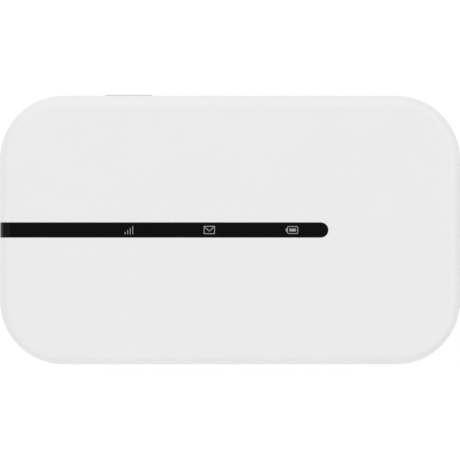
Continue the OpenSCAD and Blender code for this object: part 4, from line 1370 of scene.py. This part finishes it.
@dataclass
class Board(SubAssembly):
    """Circuit board with chips, cans, coils and the small parts between them.

    Attributes:
        edge: Rounding of the board and the cans.
        chip_edge: Rounding of a chip.
        chips: The chips' construction nodes.
        cans: What each shielding can covers.
        body: Length, width and height of a small part's body.
        cap: Length, width and height of its soldered ends.
        crystals: Middles of the metal-cased crystals, in millimetres.
        crystal: Half the length and half the width of a crystal's foot.
        crystal_high: Height of the foot, and of the lid on it.
        lid_inset: How far the lid stands back from the foot's rim.
        lid_edge: Rounding of the lid.
        ink: Thickness of the printed legend.
        legend_line: Width of its lines.
        legend_gap: How much larger than a chip the frame round it is.
        first_pin: Radius of the first-pin mark.
        pads: Middles of the test pads under the board, in millimetres.
        pad_radius: Radius of a test pad.
        pad_high: How far it stands out.
    """

    edge: float = 0.04 * MM
    chip_edge: float = 0.035 * MM
    chips: tuple[str, ...] = (
        "modem_processor", "memory_chip", "radio_transceiver", "power_amplifiers", "wifi_chip", "power_manager"
    )
    cans: tuple[str, ...] = ("modem", "radio", "wifi", "power")
    body: tuple[float, float, float] = (0.64 * MM, 0.46 * MM, 0.36 * MM)
    cap: tuple[float, float, float] = (0.22 * MM, 0.5 * MM, 0.4 * MM)
    crystals: tuple[Point, ...] = ((-37.0, 12.6), (19.0, -24.0), (-12.5, -14.6))
    crystal: Point = (1.6 * MM, 1.25 * MM)
    crystal_high: float = 0.35 * MM
    lid_inset: float = 0.15 * MM
    lid_edge: float = 0.1 * MM
    ink: float = 0.01 * MM
    legend_line: float = 0.14 * MM
    legend_gap: float = 0.5 * MM
    first_pin: float = 0.16 * MM
    pads: tuple[Point, ...] = (
        (-40, 2.6), (-37.6, 2.6), (-35.2, 2.6), (-32.8, 2.6), (-30.4, 2.6), (-28, 2.6), (-40, -4.6), (-28, -4.6)
    )
    pad_radius: float = 0.55 * MM
    pad_high: float = 0.02 * MM

    def build(self) -> None:
        """Make the board and everything soldered to it."""
        self.soften("main_board", Palette.BOARD, self.edge)
        for node in self.chips:
            self.soften(node, Palette.CHIP, self.chip_edge)
        self.soften("charger_coils", Palette.FERRITE, radius=0.2 * MM)
        self.soften("thermal_pads", Palette.SILICONE, radius=0.12 * MM)
        for can in self.cans:
            self.soften(f"{can}_can_frame", Palette.TIN, self.edge)
            self.soften(f"{can}_can_lid", Palette.TIN, self.edge)
        low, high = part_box("main_board")
        self.small_parts(high.z)
        self.crystal_cases(high.z)
        self.legend(high.z)
        self.test_pads(low.z)

    def small_parts(self, top: float) -> None:
        """Solder the rows of capacitors and resistors, each a body between two ends.

        Args:
            top: Height of the board's upper face.
        """
        ends = bmesh.new()
        for part in Part:
            bodies = bmesh.new()
            for row in (r for r in ROWS if r.part is part):
                for x, y in row.places():
                    for size, shift in ((self.body, 0), (self.cap, -1), (self.cap, 1)):
                        offset = shift * (self.body[0] + self.cap[0]) / 2
                        long, wide, tall = size
                        span = Vector((wide, long, tall) if row.across else (long, wide, tall))
                        foot = Vector((x, y + offset, top) if row.across else (x + offset, y, top))
                        low = foot - Vector((span.x / 2, span.y / 2, 0))
                        add_box(ends if shift else bodies, low, low + span)
            finish_piece(bodies, f"{part.name.lower()}_bodies", part.value, "main_board")
        finish_piece(ends, "soldered_ends", Palette.SOLDER, "main_board")

    def crystal_cases(self, top: float) -> None:
        """Solder the crystals, each a lid with round corners on a ceramic foot.

        Args:
            top: Height of the board's upper face.
        """
        cases, feet = bmesh.new(), bmesh.new()
        half, rim = Vector((*self.crystal, 0)), Vector((self.lid_inset, self.lid_inset, 0))
        foot = Vector((0, 0, self.crystal_high))
        for x, y in self.crystals:
            middle = Vector((x * MM, y * MM, top))
            add_box(feet, middle - half, middle + half + foot)
            add_box(cases, middle - half + rim + foot, middle + half - rim + foot * 2)
        finish_piece(round_edges(cases, self.lid_edge, 2), "crystal_lids", Palette.SOLDER, "main_board")
        finish_piece(feet, "crystal_feet", Palette.CERAMIC, "main_board")

    def legend(self, top: float) -> None:
        """Print a white frame round each chip and a mark beside its first pin.

        Args:
            top: Height of the board's upper face.
        """
        shape = bmesh.new()
        line, gap = self.legend_line, self.legend_gap
        for node in self.chips:
            for low, high in loose_boxes(node):
                middle, size = (low + high) / 2, high - low
                add_ring(shape, (middle.x, middle.y), (size.x + gap, size.y + gap), line, self.ink)
                mark = (low.x - 2 * line - gap / 2, high.y - line)
                add_disc(shape, mark, self.first_pin, self.ink, segments=12)
        finish_piece(shape, "board_legend", Palette.LEGEND, "main_board", Vector((0, 0, top)))

    def test_pads(self, bottom: float) -> None:
        """Plate the round test pads that show in the card well.

        Args:
            bottom: Height of the board's lower face.
        """
        shape = bmesh.new()
        for x, y in self.pads:
            add_disc(shape, (x * MM, -y * MM), self.pad_radius, self.pad_high)
        finish_piece(shape, "test_pads", Palette.GOLD, "battery_blades", Vector((0, 0, bottom)), Facing.DOWN)


@dataclass
class Antennas(SubAssembly):
    """Antenna foils, the block that carries the main one, and the springs that feed them.

    Attributes:
        stake: Radius of a melted stake that holds the foil.
        stake_high: How far its head stands on the foil.
        stake_shift: How far the stakes stand from the middle of the block, towards the plain end.
        stake_y: Where they stand across the body, in millimetres.
    """

    stake: float = 0.7 * MM
    stake_high: float = 0.06 * MM
    stake_shift: float = 0.6 * MM
    stake_y: tuple[float, ...] = (-16, -8.4, 8.4, 16)

    def build(self) -> None:
        """Make the block, the foils, their stakes and the springs."""
        self.soften("antenna_carrier", Palette.CHASSIS, radius=0.15 * MM)
        for node in ("main_antenna", "diversity_antenna", "wifi_antenna"):
            self.soften(node, Palette.COPPER, radius=0.02 * MM)
        self.soften("antenna_springs", Palette.GOLD, radius=0.03 * MM)
        self.stakes()

    def stakes(self) -> None:
        """Melt the heads of the stakes flat over the main foil."""
        low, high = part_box("antenna_carrier")
        x = (low.x + high.x) / 2 + self.stake_shift
        shape = bmesh.new()
        for y in self.stake_y:
            add_disc(shape, (x, y * MM), self.stake, self.stake_high, segments=20)
        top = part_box("main_antenna")[1].z
        finish_piece(shape, "foil_stakes", Palette.CHASSIS, "antenna_carrier", Vector((0, 0, top)))


@dataclass(frozen=True)
class Fade:
    """A smooth rise of the light between one and two times a distance from a dark place.

    Attributes:
        near: Where it starts.
        left: What is left of the light nearer than that.
    """

    near: float
    left: float

    def build(self, tree: Tree, distance: Socket) -> Socket:
        """Light at a distance from the dark place.

        Args:
            tree: The surround's nodes.
            distance: How far away it is.

        Returns:
            The share of the light that is left.
        """
        span = {"From Min": self.near, "From Max": self.near * 2, "To Min": self.left}
        settings = {"interpolation_type": "SMOOTHSTEP", **span}
        return add_node(tree, "ShaderNodeMapRange", settings, {"Value": distance}).outputs["Result"]


@dataclass
class Studio:
    """Plain pale floor, white surround, one soft lamp and the camera.

    Attributes:
        lens_mm: Focal length.
        sensor_mm: Width of the sensor.
        far_clip: How far the camera sees, in metres.
        rim_height: Height at which the outline is widest, which fills the frame.
        floor_size: Length and width of the floor.
        floor_gap: How far the floor lies under the cover, so that the two never share a plane.
        shown_paper: How much of the light on it the floor sends back where it shows.
        shown_glow: Light of its own where it shows.
        floor_paper: How much of the light on it the floor sends to the object.
        floor_glow: Light of its own that it sends to the object.
        far_glow: The same beyond the plain end.
        far_from: Where the one turns into the other along the body, from and to.
        dome: Light of the surround, overhead.
        horizon: Light of the surround, low down.
        rise: Between which heights the one turns into the other, as sines.
        dark_cap: The dark patch straight overhead, by the sine of its angle.
        boom: The dark boom to the left, by the sine of its half width.
        lamp_size: Length and width of the lamp.
        lamp_watts: Its power.
        lamp_at: Its place.
    """

    lens_mm: float = 250.0
    sensor_mm: float = 36.0
    far_clip: float = 20.0
    rim_height: float = 11.0 * MM
    floor_size: float = 6.0
    floor_gap: float = 0.05 * MM
    shown_paper: float = 0.36
    shown_glow: float = 0.7
    floor_paper: float = 0.5
    floor_glow: float = 0.5
    far_glow: float = 0.2
    far_from: Point = (45 * MM, 55 * MM)
    dome: float = 1.121
    horizon: float = 0.55
    rise: Point = (0.12, 0.4)
    dark_cap: Fade = Fade(math.sin(math.radians(11.0)), left=0.015)
    boom: Fade = Fade(0.07, left=0.3)
    lamp_size: Point = (0.9, 0.6)
    lamp_watts: float = 0.7
    lamp_at: tuple[float, float, float] = (-0.15, 0.64, 0.61)

    def build(self) -> None:
        """Set up the whole studio."""
        self.camera()
        self.floor()
        self.world()
        self.lamp()
        bpy.context.scene.view_settings.view_transform = "Standard"

    def camera(self) -> None:
        """A long lens straight above the face, upper edge towards the key side."""
        low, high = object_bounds()
        data = bpy.data.cameras.new("camera")
        data.lens = self.lens_mm
        data.sensor_width = self.sensor_mm
        data.clip_end = self.far_clip
        camera = bpy.data.objects.new("camera", data)
        reach = (high.x - low.x) * self.lens_mm / self.sensor_mm
        camera.location = (0, 0, self.rim_height + reach)
        bpy.context.scene.collection.objects.link(camera)
        bpy.context.scene.camera = camera

    def floor(self) -> None:
        """A wide floor that shows white and keeps a soft shadow, and is not there from below."""
        shape = bmesh.new()
        place = Matrix.Translation((0, 0, -self.floor_gap))
        bmesh.ops.create_grid(shape, x_segments=1, y_segments=1, size=self.floor_size / 2, matrix=place)
        mesh = bpy.data.meshes.new("studio_floor")
        shape.to_mesh(mesh)
        shape.free()
        floor = bpy.data.objects.new("studio_floor", mesh)
        bpy.context.scene.collection.objects.link(floor)
        mesh.materials.append(self.sweep())
        floor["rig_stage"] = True

    def sweep(self) -> bpy.types.Material:
        """Matt white paper: even and without sheen, lighter where it shows than where it lights the object.

        Returns:
            The floor's material.
        """
        material = bpy.data.materials.new("white_paper_sweep")
        material.use_nodes = True
        material.cycles.emission_sampling = "NONE"
        tree = material.node_tree
        tree.nodes.clear()
        shown = self.paper(tree, self.shown_paper, self.shown_glow)
        lit = self.paper(tree, self.floor_paper, self.dimming(tree))
        mixed = add_node(tree, "ShaderNodeMixShader", links={0: self.shows(tree), 1: lit, 2: shown})
        back = add_node(tree, "ShaderNodeNewGeometry").outputs["Backfacing"]
        clear = add_node(tree, "ShaderNodeBsdfTransparent")
        under = add_node(tree, "ShaderNodeMixShader", links={0: back, 1: mixed.outputs[0], 2: clear.outputs[0]})
        add_node(tree, "ShaderNodeOutputMaterial", links={"Surface": under.outputs[0]})
        return material

    def paper(self, tree: Tree, sent_back: float, glow: float | Socket) -> Socket:
        """Paper that sends back part of the light and gives a little of its own.

        Args:
            tree: The floor's nodes.
            sent_back: How much of the light it sends back, from 0 to 1.
            glow: Light of its own, the same all over or from a socket.

        Returns:
            The paper's shader.
        """
        matt = add_node(tree, "ShaderNodeBsdfDiffuse", {"Color": (sent_back, sent_back, sent_back, 1)})
        light = add_node(tree, "ShaderNodeEmission")
        if isinstance(glow, float):
            light.inputs["Strength"].default_value = glow
        else:
            tree.links.new(glow, light.inputs["Strength"])
        return add_node(tree, "ShaderNodeAddShader", links={0: matt.outputs[0], 1: light.outputs[0]}).outputs[0]

    def dimming(self, tree: Tree) -> Socket:
        """Light that the floor gives of its own, less beyond the plain end.

        Args:
            tree: The floor's nodes.

        Returns:
            The strength of that light.
        """
        place = add_node(tree, "ShaderNodeNewGeometry").outputs["Position"]
        along = add_node(tree, "ShaderNodeSeparateXYZ", links={0: place}).outputs["X"]
        start, end = self.far_from
        span = {"From Min": start, "From Max": end, "To Min": self.floor_glow, "To Max": self.far_glow}
        return add_node(tree, "ShaderNodeMapRange", span, {"Value": along}).outputs["Result"]

    def shows(self, tree: Tree) -> Socket:
        """Tell where the floor shows from where it only lights something.

        Args:
            tree: The floor's nodes.

        Returns:
            1 where the camera sees it, straight or in metal or through glass, and 0 elsewhere.
        """
        path = add_node(tree, "ShaderNodeLightPath").outputs
        straight = add_node(
            tree, "ShaderNodeMath", {"operation": "MAXIMUM"}, {0: path["Is Camera Ray"], 1: path["Is Glossy Ray"]}
        )
        return add_node(
            tree, "ShaderNodeMath", {"operation": "MAXIMUM"}, {0: straight.outputs[0], 1: path["Is Transmission Ray"]}
        ).outputs[0]

    def world(self) -> None:
        """White surround, dark where the camera hangs overhead and along the boom that holds it."""
        world = bpy.data.worlds.new("white_surround")
        bpy.context.scene.world = world
        world.use_nodes = True
        tree = world.node_tree
        tree.nodes.clear()
        way = add_node(tree, "ShaderNodeTexCoord").outputs["Generated"]
        split = add_node(tree, "ShaderNodeSeparateXYZ", links={0: way}).outputs
        start, end = self.rise
        rising = {"From Min": start, "From Max": end, "To Min": self.horizon, "To Max": self.dome}
        open_sky = add_node(
            tree, "ShaderNodeMapRange", {"interpolation_type": "SMOOTHSTEP", **rising}, {"Value": split["Z"]}
        )
        spread = add_node(tree, "ShaderNodeCombineXYZ", links={"X": split["X"], "Y": split["Y"]})
        off_axis = add_node(tree, "ShaderNodeVectorMath", {"operation": "LENGTH"}, {0: spread.outputs[0]})
        past_camera = self.dark_cap.build(tree, off_axis.outputs["Value"])
        sideways = add_node(tree, "ShaderNodeMath", {"operation": "ABSOLUTE"}, {0: split["Y"]})
        beside_boom = self.boom.build(tree, sideways.outputs[0])
        other_side = add_node(tree, "ShaderNodeMath", {"operation": "GREATER_THAN", 1: 0.0}, {0: split["X"]})
        past_boom = add_node(
            tree, "ShaderNodeMath", {"operation": "MAXIMUM"}, {0: beside_boom, 1: other_side.outputs[0]}
        )
        clear = add_node(tree, "ShaderNodeMath", {"operation": "MULTIPLY"}, {0: past_camera, 1: past_boom.outputs[0]})
        level = add_node(
            tree, "ShaderNodeMath", {"operation": "MULTIPLY"}, {0: open_sky.outputs["Result"], 1: clear.outputs[0]}
        )
        seen = add_node(tree, "ShaderNodeLightPath").outputs["Is Camera Ray"]
        strength = add_node(tree, "ShaderNodeMix", {"data_type": "FLOAT", 3: 1.0}, {0: seen, 2: level.outputs[0]})
        light = add_node(tree, "ShaderNodeBackground", {"Color": (1, 1, 1, 1)}, {"Strength": strength.outputs[0]})
        add_node(tree, "ShaderNodeOutputWorld", links={"Surface": light.outputs[0]})

    def lamp(self) -> None:
        """One broad soft lamp high on the key side, so that the face falls off gently."""
        light = bpy.data.lights.new("softbox", "AREA")
        light.shape = "RECTANGLE"
        light.size, light.size_y = self.lamp_size
        light.energy = self.lamp_watts
        box = bpy.data.objects.new("softbox", light)
        box.location = self.lamp_at
        box.rotation_euler = (-box.location).to_track_quat("-Z", "Y").to_euler()
        bpy.context.scene.collection.objects.link(box)


def main() -> None:
    """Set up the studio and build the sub-assemblies in order."""
    logging.basicConfig(level=logging.INFO, format="%(name)s: %(message)s")
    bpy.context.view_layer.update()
    Studio().build()
    for assembly in (
        Housing(),
        IndicatorStrip(),
        PowerKey(),
        ChargingSocket(),
        Chassis(),
        CardReader(),
        Battery(),
        Board(),
        Antennas(),
        BackCover(),
    ):
        LOG.info("building %s", type(assembly).__name__)
        assembly.build()


if __name__ == "__main__":
    main()
